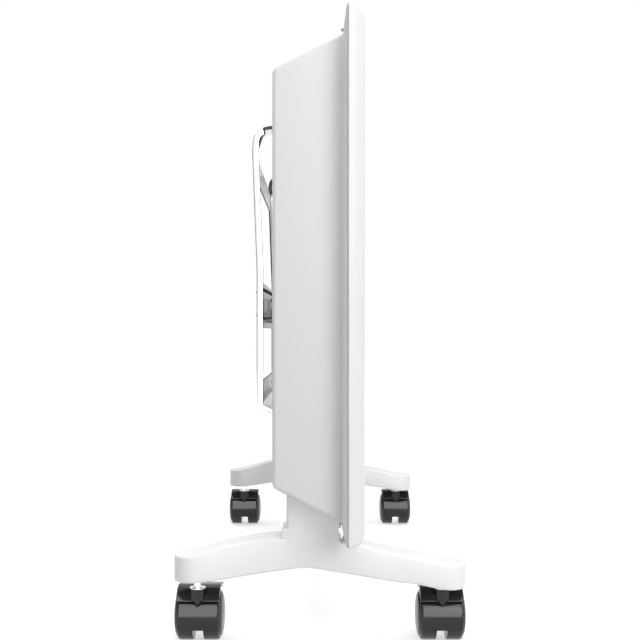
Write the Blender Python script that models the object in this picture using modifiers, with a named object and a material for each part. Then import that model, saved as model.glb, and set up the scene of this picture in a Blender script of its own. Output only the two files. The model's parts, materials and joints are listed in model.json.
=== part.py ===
"""Panel convector heater on two wheeled feet, with its wall bracket hung on the back.

Metres, +Z up. X runs along the heater, -Y is its front, and the origin lies on the floor under its middle.
Run it with blender --background --python part.py, or from the text editor.
"""
import math

import bmesh
import bpy

# Clearances, and how far a cutter runs past what it cuts
FIT_GAP = 0.0003
RUN_GAP = 0.0006
OVERRUN = 0.006
MERGE_DISTANCE = 0.00001

# The least turn that counts as a sharp edge, and the steps round a full turn or along a corner
SHARP_ANGLE = math.radians(35.0)
WHEEL_STEPS = 24
ROUND_STEPS = 20
SMALL_STEPS = 12
CORNER_STEPS = 3

# The bevel's share for an edge rounded as an arc
ROUND_PROFILE_SHARE = 0.5

# Shares of a screw head's radius and height where its crown ends and its rim starts
CROWN_SHARE = 0.6
RIM_SHARE = 0.4

# Front panel: a dished steel sheet with a return lip
PANEL_WIDTH = 0.640
PANEL_HEIGHT = 0.400
PANEL_BOTTOM_Z = 0.087
PANEL_FRONT_Y = -0.0331
PANEL_DEPTH = 0.0124
PANEL_WALL = 0.0012
PANEL_EDGE_RADIUS = 0.0112
PANEL_EDGE_STEPS = 4
PANEL_CORNER_RADIUS = 0.0030
PANEL_LIP = 0.0205
PANEL_TOP_Z = PANEL_BOTTOM_Z + PANEL_HEIGHT
PANEL_REAR_Y = PANEL_FRONT_Y + PANEL_DEPTH

# How far the feet's middles stand in from the panel's ends
FOOT_INSET = 0.0610
FOOT_X = PANEL_WIDTH / 2 - FOOT_INSET

# Warm-air grille in the panel
GRILLE_END_MARGIN = 0.0500
GRILLE_LENGTH = PANEL_WIDTH - 2 * GRILLE_END_MARGIN
GRILLE_HEIGHT = 0.034
GRILLE_DROP = 0.040
GRILLE_DEPTH = 0.0030
GRILLE_RIM = 0.0035
GRILLE_RIM_WALL = 0.0012
GRILLE_BORDER = 0.0050
GRILLE_BAR = 0.0040
GRILLE_SLOT_COLUMNS = 6
GRILLE_SLOT_ROWS = 4
GRILLE_Z = PANEL_TOP_Z - GRILLE_DROP

# Flange of the rear casing, hemmed thick and tapered at its top and bottom edges
FLANGE_THICKNESS = 0.0033
FLANGE_TIP = 0.0005
FLANGE_TOP_TAPER = 0.0200
FLANGE_BOTTOM_TAPER = 0.0095
FLANGE_FRONT_Y = PANEL_REAR_Y + FIT_GAP
FLANGE_REAR_Y = FLANGE_FRONT_Y + FLANGE_THICKNESS

# Rear casing: a tub with sloping top and bottom
CASING_INSET = 0.0200
CASING_DEPTH = 0.0530
CASING_WALL = 0.0012
CASING_EDGE_RADIUS = 0.0036
CASING_FRONT_TOP_DROP = 0.0176
CASING_REAR_TOP_DROP = 0.0443
CASING_FRONT_BOTTOM_RISE = 0.0144
CASING_REAR_BOTTOM_RISE = 0.0417
CASING_HALF = PANEL_WIDTH / 2 - CASING_INSET
CASING_REAR_Y = FLANGE_REAR_Y + CASING_DEPTH
CASING_INNER_REAR_Y = CASING_REAR_Y - CASING_WALL
CASING_MID_Y = (FLANGE_REAR_Y + CASING_REAR_Y) / 2

# Air inlet slots in the bottom slope, spread between the feet with a bridge of metal after each
INLET_SLOTS = 14
INLET_FOOT_ROOM = 0.0280
INLET_BRIDGE = 0.0070
INLET_WIDTH = 0.0080
INLET_PITCH = 2 * (FOOT_X - INLET_FOOT_ROOM) / INLET_SLOTS
INLET_LENGTH = INLET_PITCH - INLET_BRIDGE

# Small screws at the top of the flange
CASING_SCREW_INSET = 0.0300
CASING_SCREW_DROP = 0.0125
CASING_SCREW_HEAD_RADIUS = 0.0026
CASING_SCREW_HEAD_HEIGHT = 0.0016
CASING_SCREW_RADIUS = 0.0015
CASING_SCREW_LENGTH = 0.0080

# Wall bracket of folded sheet
BRACKET_WIDTH = 0.320
BRACKET_WALL = 0.0015
BRACKET_FLANGE = 0.0058
BRACKET_STANDOFF = 0.0199
BRACKET_LEAN = 0.0040
BRACKET_FLAT_LOW_Z = 0.1785
BRACKET_FLAT_HIGH_Z = 0.3003
BRACKET_ARM_DROP = 0.0607
BRACKET_ARM_Z = PANEL_TOP_Z - BRACKET_ARM_DROP
BRACKET_CREST_DROP = 0.0208
BRACKET_CREST_Z = BRACKET_ARM_Z - BRACKET_CREST_DROP
BRACKET_ARM_FALL = 0.0033
BRACKET_BEND_BACK = 0.0014
BRACKET_BEND_RADIUS = 0.0100
BRACKET_FOOT_DROP = 0.0088
BRACKET_UPRIGHT = 0.0300
BRACKET_TONGUE_WIDTH = 0.0300
BRACKET_TONGUE_REACH = 0.0060
BRACKET_TONGUE_SLACK = 0.0010
BRACKET_MIDDLE_BAR_LOW_Z = 0.2500
BRACKET_MIDDLE_BAR_HIGH_Z = 0.2930
BRACKET_UPPER_WINDOW_DROP = 0.0205
BRACKET_UPPER_WINDOW_HIGH_Z = BRACKET_CREST_Z - BRACKET_UPPER_WINDOW_DROP
BRACKET_LOWER_WINDOW_LOW_Z = 0.2000
BRACKET_TOP_GAP_RISE = 0.0025
BRACKET_TOP_GAP_LOW_Z = BRACKET_CREST_Z + BRACKET_TOP_GAP_RISE
WALL_HOLE_RADIUS = 0.0035
WALL_HOLE_X = 0.0950
WALL_HOLE_UPPER_DROP = 0.0095
WALL_HOLE_UPPER_Z = BRACKET_CREST_Z - WALL_HOLE_UPPER_DROP
WALL_HOLE_LOWER_Z = 0.1890
BRACKET_FLAT_Y = CASING_REAR_Y + BRACKET_STANDOFF
BRACKET_HALF = BRACKET_WIDTH / 2

# Catches riveted to the bracket's uprights
CATCH_WIDTH = 0.0150
CATCH_WALL = 0.0014
CATCH_INSET = 0.0180
CATCH_HEIGHT = 0.0310
CATCH_LOW_Z = 0.2560
CATCH_HIGH_Z = CATCH_LOW_Z + CATCH_HEIGHT
CATCH_SLOPE = 0.0095
CATCH_RISE = 0.0016
CHEEK_RADIUS = 0.0088
CHEEK_WALL = 0.0016
CHEEK_RISE = 0.0130
CHEEK_Z = CATCH_LOW_Z + CHEEK_RISE
RIVET_DROP = 0.0058
RIVET_HIGH_Z = CATCH_HIGH_Z - RIVET_DROP
RIVET_RISE = 0.0046
RIVET_LOW_Z = CATCH_LOW_Z + RIVET_RISE
RIVET_HEAD_RADIUS = 0.0024
RIVET_HEAD_HEIGHT = 0.0011
RIVET_RADIUS = 0.0015

# Feet: mouldings with a rear arm, a front arm and a post
STEM_SPACING = 0.1924
STEM_Y = STEM_SPACING / 2
FOOT_HALF_WIDTH = 0.0182
FOOT_WAIST_HALF_WIDTH = 0.0150
FOOT_WAIST_REACH = 0.0500
FOOT_TIP_STEPS = 8
FOOT_EDGE_RADIUS = 0.0020
FOOT_ARCH_Y = 0.0100
FOOT_ARCH_Z = 0.0632
REAR_TIP_LOW_Z = 0.0515
REAR_TIP_HIGH_Z = 0.0720
REAR_ROOT_HIGH_Z = 0.0866
FRONT_TIP_LOW_Z = 0.0461
FRONT_TIP_HIGH_Z = 0.0656
FRONT_ROOT_HIGH_Z = 0.0836
POST_REAR_Y = 0.0259
POST_TAB_DEPTH = 0.0046
POST_TAB_LOW_Z = 0.0875
POST_TAB_HIGH_Z = 0.0942
POST_TAB_TOP_SHARE = 0.7
FOOT_REACH = STEM_Y + FOOT_HALF_WIDTH

# Shares of the way from tip to arch, and from tip to post, with the share of the rise there
REAR_UNDERSIDE_SHARES = ((0.10, 0.01), (0.21, 0.07), (0.36, 0.24), (0.58, 0.53), (0.80, 0.82))
FRONT_UNDERSIDE_SHARES = ((0.10, 0.01), (0.20, 0.11), (0.30, 0.25), (0.46, 0.38), (0.70, 0.67), (0.84, 0.83))
REAR_TOP_SHARES = ((0.12, 0.02), (0.24, 0.15), (0.42, 0.44), (0.68, 0.81), (0.94, 1.00))
FRONT_TOP_SHARES = ((0.10, 0.01), (0.22, 0.10), (0.38, 0.30), (0.58, 0.51), (0.70, 0.66), (0.82, 0.86))

# Steel plate and bright screws that hold a foot to the flange
FOOT_PLATE_LENGTH = 0.0720
FOOT_PLATE_HEIGHT = 0.0098
FOOT_PLATE_WALL = 0.0011
FOOT_PLATE_RISE = 0.0085
FOOT_SCREW_SPACING = 0.0560
FOOT_SCREW_HEAD_RADIUS = 0.0036
FOOT_SCREW_HEAD_HEIGHT = 0.0019
FOOT_SCREW_RADIUS = 0.0019
FOOT_SCREW_LENGTH = 0.0095
FOOT_PLATE_Z = PANEL_BOTTOM_Z + FOOT_PLATE_RISE
FOOT_PLATE_FRONT_Y = FLANGE_REAR_Y + FIT_GAP
FOOT_PLATE_REAR_Y = FOOT_PLATE_FRONT_Y + FOOT_PLATE_WALL
POST_FRONT_Y = FOOT_PLATE_REAR_Y + FIT_GAP

# Casters: twin wheels trailing a swivel stem
WHEEL_RADIUS = 0.0200
WHEEL_OUTER_FACE = 0.0200
WHEEL_RIM = 0.0170
WHEEL_INNER_FACE = 0.0042
WHEEL_CORNER = 0.0018
WHEEL_DOME_STEPS = 3
WHEEL_CORNER_STEPS = 2
CASTER_TRAIL = 0.0170
AXLE_RADIUS = 0.0020
AXLE_HALF = 0.0158
STEM_RADIUS = 0.0030
STEM_SEAT_DEPTH = 0.0150
STEM_CHAMFER = 0.0005
COLLAR_RADIUS = 0.0065
COLLAR_THICKNESS = 0.0010
HOOD_OUTER_RADIUS = 0.0240
HOOD_INNER_RADIUS = 0.0212
HOOD_HALF_WIDTH = 0.0170
HOOD_FRONT_ANGLE = math.radians(143.0)
HOOD_REAR_ANGLE = math.radians(60.0)
HOOD_ARC_STEPS = 8
HOOD_TAIL_REACH = 0.0205
HOOD_TAIL_WALL = 0.0020
WEB_HALF_THICKNESS = 0.0036
WEB_RADIUS = 0.0195
WEB_BOTTOM_Z = 0.0112
WEB_ARC_STEPS = 5
BOSS_RADIUS = 0.00515
BOSS_TOP_Z = 0.0440
BOSS_SHOULDER_Z = 0.0340
BOSS_TIP_Z = 0.0285

# Heating element, its supports and the shield behind it
ELEMENT_END_ROOM = 0.0700
ELEMENT_LENGTH = 2 * (CASING_HALF - ELEMENT_END_ROOM)
ELEMENT_CENTRE_X = -0.035
ELEMENT_CENTRE_Y = 0.0030
ELEMENT_CENTRE_Z = 0.190
ELEMENT_HALF_HEIGHT = 0.0240
ELEMENT_HALF_DEPTH = 0.0200
ELEMENT_CORE_RADIUS = 0.0080
ELEMENT_ARM_WALL = 0.0030
SHEATH_RADIUS = 0.0040
SHEATH_PIN_RADIUS = 0.0015
SHEATH_OVERHANG = 0.0160
SHEATH_PIN_LENGTH = 0.0120
SUPPORT_WALL = 0.0015
SUPPORT_HEIGHT = 0.0560
SUPPORT_FRONT_REACH = 0.0160
SUPPORT_FOOT = 0.0120
SUPPORT_STANDOFF = 0.0050
SHIELD_WALL = 0.0008
SHIELD_STANDOFF = 0.0070
SHIELD_LOW_Z = 0.150
SHIELD_HIGH_Z = 0.300
SHIELD_STEP = 0.0080
SHIELD_FLANGE = 0.0120
SHIELD_END_GAP = 0.0010

# Overheat cut-out on the shield
CUTOUT_RADIUS = 0.0080
CUTOUT_DEPTH = 0.0070
CUTOUT_BLADE_LENGTH = 0.0080
CUTOUT_BLADE_WIDTH = 0.0048
CUTOUT_BLADE_WALL = 0.0010
CUTOUT_BLADE_SPREAD = 0.0080
CUTOUT_X = -0.100
CUTOUT_DROP = 0.0200

# Boxes on the right end wall and the rear wall
TIP_SWITCH_SIZE = (0.0180, 0.0240, 0.0300)
TIP_SWITCH_Z = 0.185
TERMINAL_SIZE = (0.0400, 0.0150, 0.0220)
TERMINAL_INSET = 0.0380
TERMINAL_X = CASING_HALF - TERMINAL_INSET
TERMINAL_Z = 0.236
TERMINAL_WELL_RADIUS = 0.0030
TERMINAL_WELL_DEPTH = 0.0080
TERMINAL_WELL_PITCH = 0.0120
TERMINAL_WELLS = 3
BLOCK_EDGE = 0.0010

# Inlet of the mains lead in the rear wall
GLAND_INSET = 0.0380
GLAND_X = CASING_HALF - GLAND_INSET
GLAND_Z = 0.160
GLAND_BORE_RADIUS = 0.0037
GLAND_BARREL_RADIUS = 0.0065
GLAND_FLANGE_RADIUS = 0.0100
GLAND_FLANGE = 0.0030
GLAND_NOZZLE = 0.0110
GLAND_NOZZLE_RADIUS = 0.0058
GLAND_INNER = 0.0060

# Controls on the right end: bezel, thermostat, heat switch and pilot lamp
BEZEL_WIDTH = 0.0380
BEZEL_HEIGHT = 0.1060
BEZEL_WALL = 0.0022
BEZEL_CORNER = 0.0060
BEZEL_DROP = 0.1070
BEZEL_Z = PANEL_TOP_Z - BEZEL_DROP
BEZEL_X = CASING_HALF + FIT_GAP
KNOB_RISE = 0.0260
KNOB_Z = BEZEL_Z + KNOB_RISE
KNOB_RADIUS = 0.0150
KNOB_GRIP_RADIUS = 0.0135
KNOB_DEPTH = 0.0130
KNOB_SKIRT = 0.0030
KNOB_EDGE = 0.0012
KNOB_MARK_WIDTH = 0.0014
KNOB_MARK_DEPTH = 0.0008
SHAFT_RADIUS = 0.0030
SHAFT_SEAT = 0.0100
SHAFT_TAIL = 0.0140
NECK_RADIUS = 0.0050
THERMOSTAT_SIZE = (0.0220, 0.0300, 0.0300)
ROCKER_FALL = 0.0240
ROCKER_Z = BEZEL_Z - ROCKER_FALL
ROCKER_HALF_LENGTH = 0.0088
ROCKER_HALF_WIDTH = 0.0056
ROCKER_TILT = math.radians(8.0)
ROCKER_PROUD = 0.0074
ROCKER_VALLEY = 0.0056
ROCKER_KEEL = 0.0034
ROCKER_KEEL_HALF = 0.0045
TRUNNION_RADIUS = 0.0012
TRUNNION_REACH = 0.0016
SWITCH_OPENING_HALF_LENGTH = 0.0106
SWITCH_OPENING_HALF_WIDTH = 0.0062
SWITCH_WALL = 0.0028
SWITCH_DEPTH = 0.0170
SWITCH_CAVITY = 0.0100
SWITCH_PIVOT_DEPTH = 0.0022
LENS_FALL = 0.0020
LENS_Z = BEZEL_Z - LENS_FALL
LENS_RADIUS = 0.0025
LENS_FLANGE_RADIUS = 0.0037
LENS_FLANGE = 0.0012
LENS_PROUD = 0.0012
LENS_RISE = 0.0014

# Material name: colour, roughness, metallic value
FINISHES = {
    "white_enamel": ((0.86, 0.86, 0.86), 0.35, 0.0),
    "white_moulding": ((0.84, 0.84, 0.85), 0.40, 0.0),
    "zinc_plate": ((0.72, 0.73, 0.74), 0.30, 1.0),
    "bright_chrome": ((0.85, 0.85, 0.86), 0.08, 1.0),
    "dark_steel": ((0.12, 0.12, 0.13), 0.40, 1.0),
    "black_hood": ((0.018, 0.018, 0.019), 0.22, 0.0),
    "black_tread": ((0.022, 0.022, 0.023), 0.32, 0.0),
    "aluminium_fins": ((0.78, 0.78, 0.79), 0.35, 1.0),
    "sheath_steel": ((0.35, 0.34, 0.33), 0.45, 1.0),
    "grey_plastic": ((0.55, 0.55, 0.56), 0.45, 0.0),
    "black_plastic": ((0.03, 0.03, 0.03), 0.40, 0.0),
    "amber_lens": ((0.85, 0.35, 0.06), 0.15, 0.0),
}

# Turns that lay a shape's own height along a world axis
ALONG_X = (0.0, math.pi / 2, 0.0)
ALONG_Y = (-math.pi / 2, 0.0, 0.0)
ALONG_MINUS_Y = (math.pi / 2, 0.0, 0.0)
ALONG_Z = (0.0, 0.0, 0.0)

# Turns that stand a flat outline up: its points become (Y, Z) seen from +X, or (X, Z) seen from the front
END_VIEW = (math.pi / 2, 0.0, math.pi / 2)
FRONT_VIEW = (math.pi / 2, 0.0, 0.0)


def clear_scene():
    """Removes every object that is in the file."""
    for old in list(bpy.data.objects):
        bpy.data.objects.remove(old, do_unlink=True)


def new_collection(name):
    """Makes a collection and links it to the scene."""
    made = bpy.data.collections.new(name)
    bpy.context.scene.collection.children.link(made)
    return made


def finish(name):
    """Returns the named material, made the first time it is asked for."""
    found = bpy.data.materials.get(name)
    if found:
        return found
    colour, roughness, metallic = FINISHES[name]
    made = bpy.data.materials.new(name)
    made.use_nodes = True
    shader = made.node_tree.nodes["Principled BSDF"]
    shader.inputs["Base Color"].default_value = (*colour, 1.0)
    shader.inputs["Roughness"].default_value = roughness
    shader.inputs["Metallic"].default_value = metallic
    return made


def add_object(name, mesh, centre, turn, look):
    """Places a mesh as a part with the look given, or as a hidden tool when there is none."""
    made = bpy.data.objects.new(name, mesh)
    made.location = centre
    made.rotation_euler = turn
    if look:
        mesh.materials.append(finish(look))
        mesh.shade_smooth()
        mesh.set_sharp_from_angle(angle=SHARP_ANGLE)
        bpy.data.collections["convector_heater"].objects.link(made)
    else:
        bpy.data.collections["cutters"].objects.link(made)
        made.hide_render = True
        made.display_type = "WIRE"
    return made


def hang(carrier, *carried):
    """Parents pieces to what carries them and leaves them where they are."""
    for piece in carried:
        piece.parent = carrier
        piece.matrix_parent_inverse = carrier.matrix_basis.inverted()


def from_bmesh(name, shape, centre, turn=ALONG_Z, look=None):
    """Turns a bmesh into a placed object."""
    mesh = bpy.data.meshes.new(name)
    shape.to_mesh(mesh)
    shape.free()
    return add_object(name, mesh, centre, turn, look)


def box(name, size, centre, look=None, turn=ALONG_Z):
    """A plain box."""
    return box_row(name, size, [(0.0, 0.0, 0.0)], centre, look, turn)


def box_row(name, size, offsets, centre, look=None, turn=ALONG_Z):
    """Equal boxes at the offsets from the centre, in one object."""
    shape = bmesh.new()
    for offset in offsets:
        verts = bmesh.ops.create_cube(shape, size=1.0)["verts"]
        bmesh.ops.scale(shape, vec=size, verts=verts)
        bmesh.ops.translate(shape, vec=offset, verts=verts)
    return from_bmesh(name, shape, centre, turn, look)


def rod(name, radius, length, centre, turn, look=None, steps=ROUND_STEPS, far_radius=None):
    """A round rod, or a cone where its far radius differs."""
    shape = bmesh.new()
    far = radius if far_radius is None else far_radius
    bmesh.ops.create_cone(shape, cap_ends=True, segments=steps, radius1=radius, radius2=far, depth=length)
    return from_bmesh(name, shape, centre, turn, look)


def turned(name, profile, centre, turn, look=None, steps=ROUND_STEPS, closed=False, phase=0.0):
    """A turned piece from (radius, height) points that run down its outer side from the top."""
    points = [(radius * math.cos(phase), radius * math.sin(phase), height) for radius, height in profile]
    edges = [(index, index + 1) for index in range(len(points) - 1)]
    if closed:
        edges.append((len(points) - 1, 0))
    mesh = bpy.data.meshes.new(name)
    mesh.from_pydata(points, edges, [])
    made = add_object(name, mesh, centre, turn, look)
    screw = made.modifiers.new("Turn", "SCREW")
    screw.axis = "Z"
    screw.steps = steps
    screw.render_steps = steps
    screw.use_merge_vertices = True
    screw.merge_threshold = MERGE_DISTANCE
    screw.use_smooth_shade = True
    return made


def plate(name, outlines, thickness, centre, turn, look=None):
    """A flat plate from an outline and the outlines of its holes, as thick as given about its centre."""
    curve = bpy.data.curves.new(name, "CURVE")
    curve.dimensions = "2D"
    curve.fill_mode = "BOTH"
    curve.extrude = thickness / 2
    for outline in outlines:
        spline = curve.splines.new("POLY")
        spline.points.add(len(outline) - 1)
        for point, (across, up) in zip(spline.points, outline):
            point.co = (across, up, 0.0, 1.0)
        spline.use_cyclic_u = True
    guide = bpy.data.objects.new(name + "_outline", curve)
    bpy.context.scene.collection.objects.link(guide)
    mesh = bpy.data.meshes.new_from_object(guide.evaluated_get(bpy.context.evaluated_depsgraph_get()))
    bpy.data.objects.remove(guide, do_unlink=True)
    bpy.data.curves.remove(curve)
    shape = bmesh.new()
    shape.from_mesh(mesh)
    bpy.data.meshes.remove(mesh)
    bmesh.ops.remove_doubles(shape, verts=shape.verts, dist=MERGE_DISTANCE)
    return from_bmesh(name, shape, centre, turn, look)


def combine(target, tool, operation):
    """Joins a tool to the target, cuts it out, or keeps what both share."""
    modifier = target.modifiers.new(tool.name, "BOOLEAN")
    modifier.operation = operation
    modifier.object = tool


def cut(target, *tools):
    """Cuts each tool out of the target."""
    for tool in tools:
        combine(target, tool, "DIFFERENCE")


def soften(target, radius, steps=1):
    """Takes the sharp edges off a piece."""
    bevel = target.modifiers.new("Soften", "BEVEL")
    bevel.limit_method = "ANGLE"
    bevel.angle_limit = SHARP_ANGLE
    bevel.width = radius
    bevel.segments = steps


def rectangle(width, height, centre=(0.0, 0.0)):
    """The four corners of a rectangle about a centre."""
    across, up = centre
    return [(across + side * width / 2, up + rise * height / 2)
            for side, rise in ((-1, -1), (1, -1), (1, 1), (-1, 1))]


def circle(radius, centre=(0.0, 0.0), steps=ROUND_STEPS):
    """Points round a circle."""
    return arc(radius, 0.0, math.tau * (steps - 1) / steps, steps - 1, centre)


def arc(radius, start, end, steps, centre=(0.0, 0.0)):
    """Points along an arc, both ends included, at angles from the first axis."""
    angles = [start + (end - start) * step / steps for step in range(steps + 1)]
    return [(centre[0] + radius * math.cos(angle), centre[1] + radius * math.sin(angle)) for angle in angles]


def rounded(points, radius, closed=True, steps=CORNER_STEPS):
    """Replaces each corner of a path by an arc that is tangent to both its sides."""
    made = []
    count = len(points)
    for index, corner in enumerate(points):
        if not closed and index in (0, count - 1):
            made.append(corner)
            continue
        before, after = points[index - 1], points[(index + 1) % count]
        inward = math.atan2(before[1] - corner[1], before[0] - corner[0])
        outward = math.atan2(after[1] - corner[1], after[0] - corner[0])
        opening = (outward - inward + math.pi) % math.tau - math.pi
        half = abs(opening) / 2
        bisector = inward + opening / 2
        reach = radius / math.sin(half)
        middle = (corner[0] + reach * math.cos(bisector), corner[1] + reach * math.sin(bisector))
        sweep = math.copysign(math.pi / 2 - half, opening)
        back = bisector + math.pi
        made += arc(radius, back + sweep, back - sweep, steps, middle)
    return made


def offset_path(path, distance):
    """Moves a (y, z) path sideways, towards +Y where it runs down, with mitred corners."""
    moved = []
    for index, point in enumerate(path):
        normals = []
        for first, last in ((index - 1, index), (index, index + 1)):
            if 0 <= first and last < len(path):
                run = (path[last][0] - path[first][0], path[last][1] - path[first][1])
                length = math.hypot(*run)
                normals.append((-run[1] / length, run[0] / length))
        across = sum(normal[0] for normal in normals)
        up = sum(normal[1] for normal in normals)
        size = math.hypot(across, up)
        spread = (across * normals[0][0] + up * normals[0][1]) / size
        moved.append((point[0] + across / size * distance / spread, point[1] + up / size * distance / spread))
    return moved


def folded_sheet(name, path, width, wall, centre, look=None, side_flange=0.0):
    """Bends a sheet along a (y, z) path that is its outer face, +Y where it runs down, with folded sides."""
    rows = [(-width / 2, path), (width / 2, path)]
    if side_flange:
        folded = offset_path(path, -side_flange)
        rows = [(-width / 2, folded), *rows, (width / 2, folded)]
    shape = bmesh.new()
    columns = [[shape.verts.new((across, y, z)) for y, z in points] for across, points in rows]
    for left, right in zip(columns, columns[1:]):
        for step in range(len(path) - 1):
            shape.faces.new((left[step], right[step], right[step + 1], left[step + 1]))
    made = from_bmesh(name, shape, centre, ALONG_Z, look)
    solid = made.modifiers.new("Wall", "SOLIDIFY")
    solid.thickness = wall
    solid.offset = -1.0
    solid.use_even_offset = True
    return made


def blend_height(shares, tip, root, across):
    """Height at a place along an arm, from a table of shares between the tip's (y, z) and the root's."""
    table = [(0.0, 0.0), *shares, (1.0, 1.0)]
    way = (across - tip[0]) / (root[0] - tip[0])
    for (start, low), (end, high) in zip(table, table[1:]):
        if way <= end:
            rise = low + (high - low) * (way - start) / (end - start)
            return tip[1] + rise * (root[1] - tip[1])
    return root[1]


def arm_points(shares, tip, root):
    """The points of an arm's edge between its tip and its root, both left out."""
    return [(tip[0] + way * (root[0] - tip[0]), tip[1] + rise * (root[1] - tip[1])) for way, rise in shares]


def casing_section(inset):
    """Corner heights of the tub's section moved inwards by the inset, at its front and rear planes."""
    front_y = FLANGE_FRONT_Y + FLANGE_THICKNESS / 2
    rear_y = CASING_REAR_Y - inset
    sides = []
    for front_z, rear_z, inwards in (
            (PANEL_TOP_Z - CASING_FRONT_TOP_DROP, PANEL_TOP_Z - CASING_REAR_TOP_DROP, -1.0),
            (PANEL_BOTTOM_Z + CASING_FRONT_BOTTOM_RISE, PANEL_BOTTOM_Z + CASING_REAR_BOTTOM_RISE, 1.0)):
        slope = (rear_z - front_z) / CASING_DEPTH
        shift = inwards * inset * math.hypot(1.0, slope)
        sides.append((front_z + slope * (front_y - FLANGE_REAR_Y) + shift,
                      front_z + slope * (rear_y - FLANGE_REAR_Y) + shift))
    return front_y, rear_y, sides[0], sides[1]


def casing_bottom_z(across):
    """Height of the casing's bottom slope at a depth."""
    slope = (CASING_REAR_BOTTOM_RISE - CASING_FRONT_BOTTOM_RISE) / CASING_DEPTH
    return PANEL_BOTTOM_Z + CASING_FRONT_BOTTOM_RISE + slope * (across - FLANGE_REAR_Y)


def tub(name, inset, front_overrun):
    """A solid of the tub's shape moved inwards by the inset, with rounded edges away from its mouth."""
    front_y, rear_y, top, bottom = casing_section(inset)
    half = CASING_HALF - inset
    shape = bmesh.new()
    bmesh.ops.create_cube(shape, size=1.0)
    for vert in shape.verts:
        rear = vert.co.y > 0
        heights = top if vert.co.z > 0 else bottom
        vert.co.x = math.copysign(half, vert.co.x)
        vert.co.z = heights[1] if rear else heights[0]
        vert.co.y = rear_y if rear else front_y
    if front_overrun:
        mouth = [face for face in shape.faces if all(vert.co.y == front_y for vert in face.verts)]
        grown = bmesh.ops.extrude_face_region(shape, geom=mouth)["geom"]
        bmesh.ops.delete(shape, geom=mouth, context="FACES_ONLY")
        for vert in grown:
            if isinstance(vert, bmesh.types.BMVert):
                vert.co.y -= front_overrun
    edges = [edge for edge in shape.edges if any(vert.co.y > front_y for vert in edge.verts)]
    radius = CASING_EDGE_RADIUS - inset
    bmesh.ops.bevel(shape, geom=edges, offset=radius, segments=CORNER_STEPS, profile=ROUND_PROFILE_SHARE,
                    affect="EDGES")
    bmesh.ops.recalc_face_normals(shape, faces=shape.faces)
    return from_bmesh(name, shape, (0.0, 0.0, 0.0))


def screw(name, seat, turn, head_radius, head_height, shank_radius, shank_length, look):
    """A pan-head screw whose head sits on a seat point and looks along its turned height."""
    profile = [(0.0, head_height), (head_radius * CROWN_SHARE, head_height),
               (head_radius, head_height * RIM_SHARE),
               (head_radius, 0.0), (shank_radius, 0.0), (shank_radius, -shank_length), (0.0, -shank_length)]
    return turned(name, profile, seat, turn, look, SMALL_STEPS)


def screw_hole(name, seat, radius):
    """A cutter along Y for a screw through the flange and the panel's lip."""
    length = FLANGE_THICKNESS + PANEL_DEPTH / 2 + OVERRUN
    centre = (seat[0], seat[1] + OVERRUN - length / 2, seat[2])
    return rod(name, radius + FIT_GAP, length, centre, ALONG_Y, None, SMALL_STEPS)


def casing_screw_seats():
    """Where the small screws sit on the flange, by side."""
    across = PANEL_WIDTH / 2 - CASING_SCREW_INSET
    return {side: (sign * across, FLANGE_REAR_Y + FIT_GAP, PANEL_TOP_Z - CASING_SCREW_DROP)
            for side, sign in (("left", -1), ("right", 1))}


def foot_screw_seats():
    """Where the bright screws sit on the foot plates, by name."""
    seats = {}
    for side, sign in (("left", -1), ("right", 1)):
        for place, shift in (("outer", sign), ("inner", -sign)):
            across = sign * FOOT_X + shift * FOOT_SCREW_SPACING / 2
            seats[f"{side}_{place}"] = (across, FOOT_PLATE_REAR_Y + FIT_GAP, FOOT_PLATE_Z)
    return seats


def panel_ring(inset, depth_y):
    """The panel's outline moved inwards by the inset, at a depth."""
    outline = rounded(rectangle(PANEL_WIDTH - 2 * inset, PANEL_HEIGHT - 2 * inset), PANEL_CORNER_RADIUS)
    return [(across, depth_y, up) for across, up in outline]


def make_front_panel():
    """The dished front sheet: rounded front edges, a return lip, a grille window and screw holes."""
    middle_z = PANEL_BOTTOM_Z + PANEL_HEIGHT / 2
    edge = [math.pi / 2 * step / PANEL_EDGE_STEPS for step in range(PANEL_EDGE_STEPS + 1)]
    rings = [panel_ring(PANEL_LIP, PANEL_REAR_Y), panel_ring(0.0, PANEL_REAR_Y)]
    rings += [panel_ring(PANEL_EDGE_RADIUS * (1 - math.cos(turn)),
                         PANEL_FRONT_Y + PANEL_EDGE_RADIUS * (1 - math.sin(turn))) for turn in edge]
    shape = bmesh.new()
    loops = [[shape.verts.new(point) for point in ring] for ring in rings]
    for outer, inner in zip(loops, loops[1:]):
        for step in range(len(outer)):
            shape.faces.new((outer[step - 1], outer[step], inner[step], inner[step - 1]))
    shape.faces.new(loops[-1])
    bmesh.ops.recalc_face_normals(shape, faces=shape.faces)
    panel = from_bmesh("front_panel", shape, (0.0, 0.0, middle_z), ALONG_Z, "white_enamel")
    solid = panel.modifiers.new("Wall", "SOLIDIFY")
    solid.thickness = PANEL_WALL
    solid.offset = -1.0
    solid.use_even_offset = True
    window = (GRILLE_LENGTH, PANEL_WALL + 2 * GRILLE_DEPTH, GRILLE_HEIGHT)
    cut(panel, box("grille_window", window, (0.0, PANEL_FRONT_Y, GRILLE_Z)))
    for side, seat in casing_screw_seats().items():
        cut(panel, screw_hole(f"panel_hole_{side}", seat, CASING_SCREW_RADIUS))
    for side, seat in foot_screw_seats().items():
        cut(panel, screw_hole(f"panel_foot_hole_{side}", seat, FOOT_SCREW_RADIUS))


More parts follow.
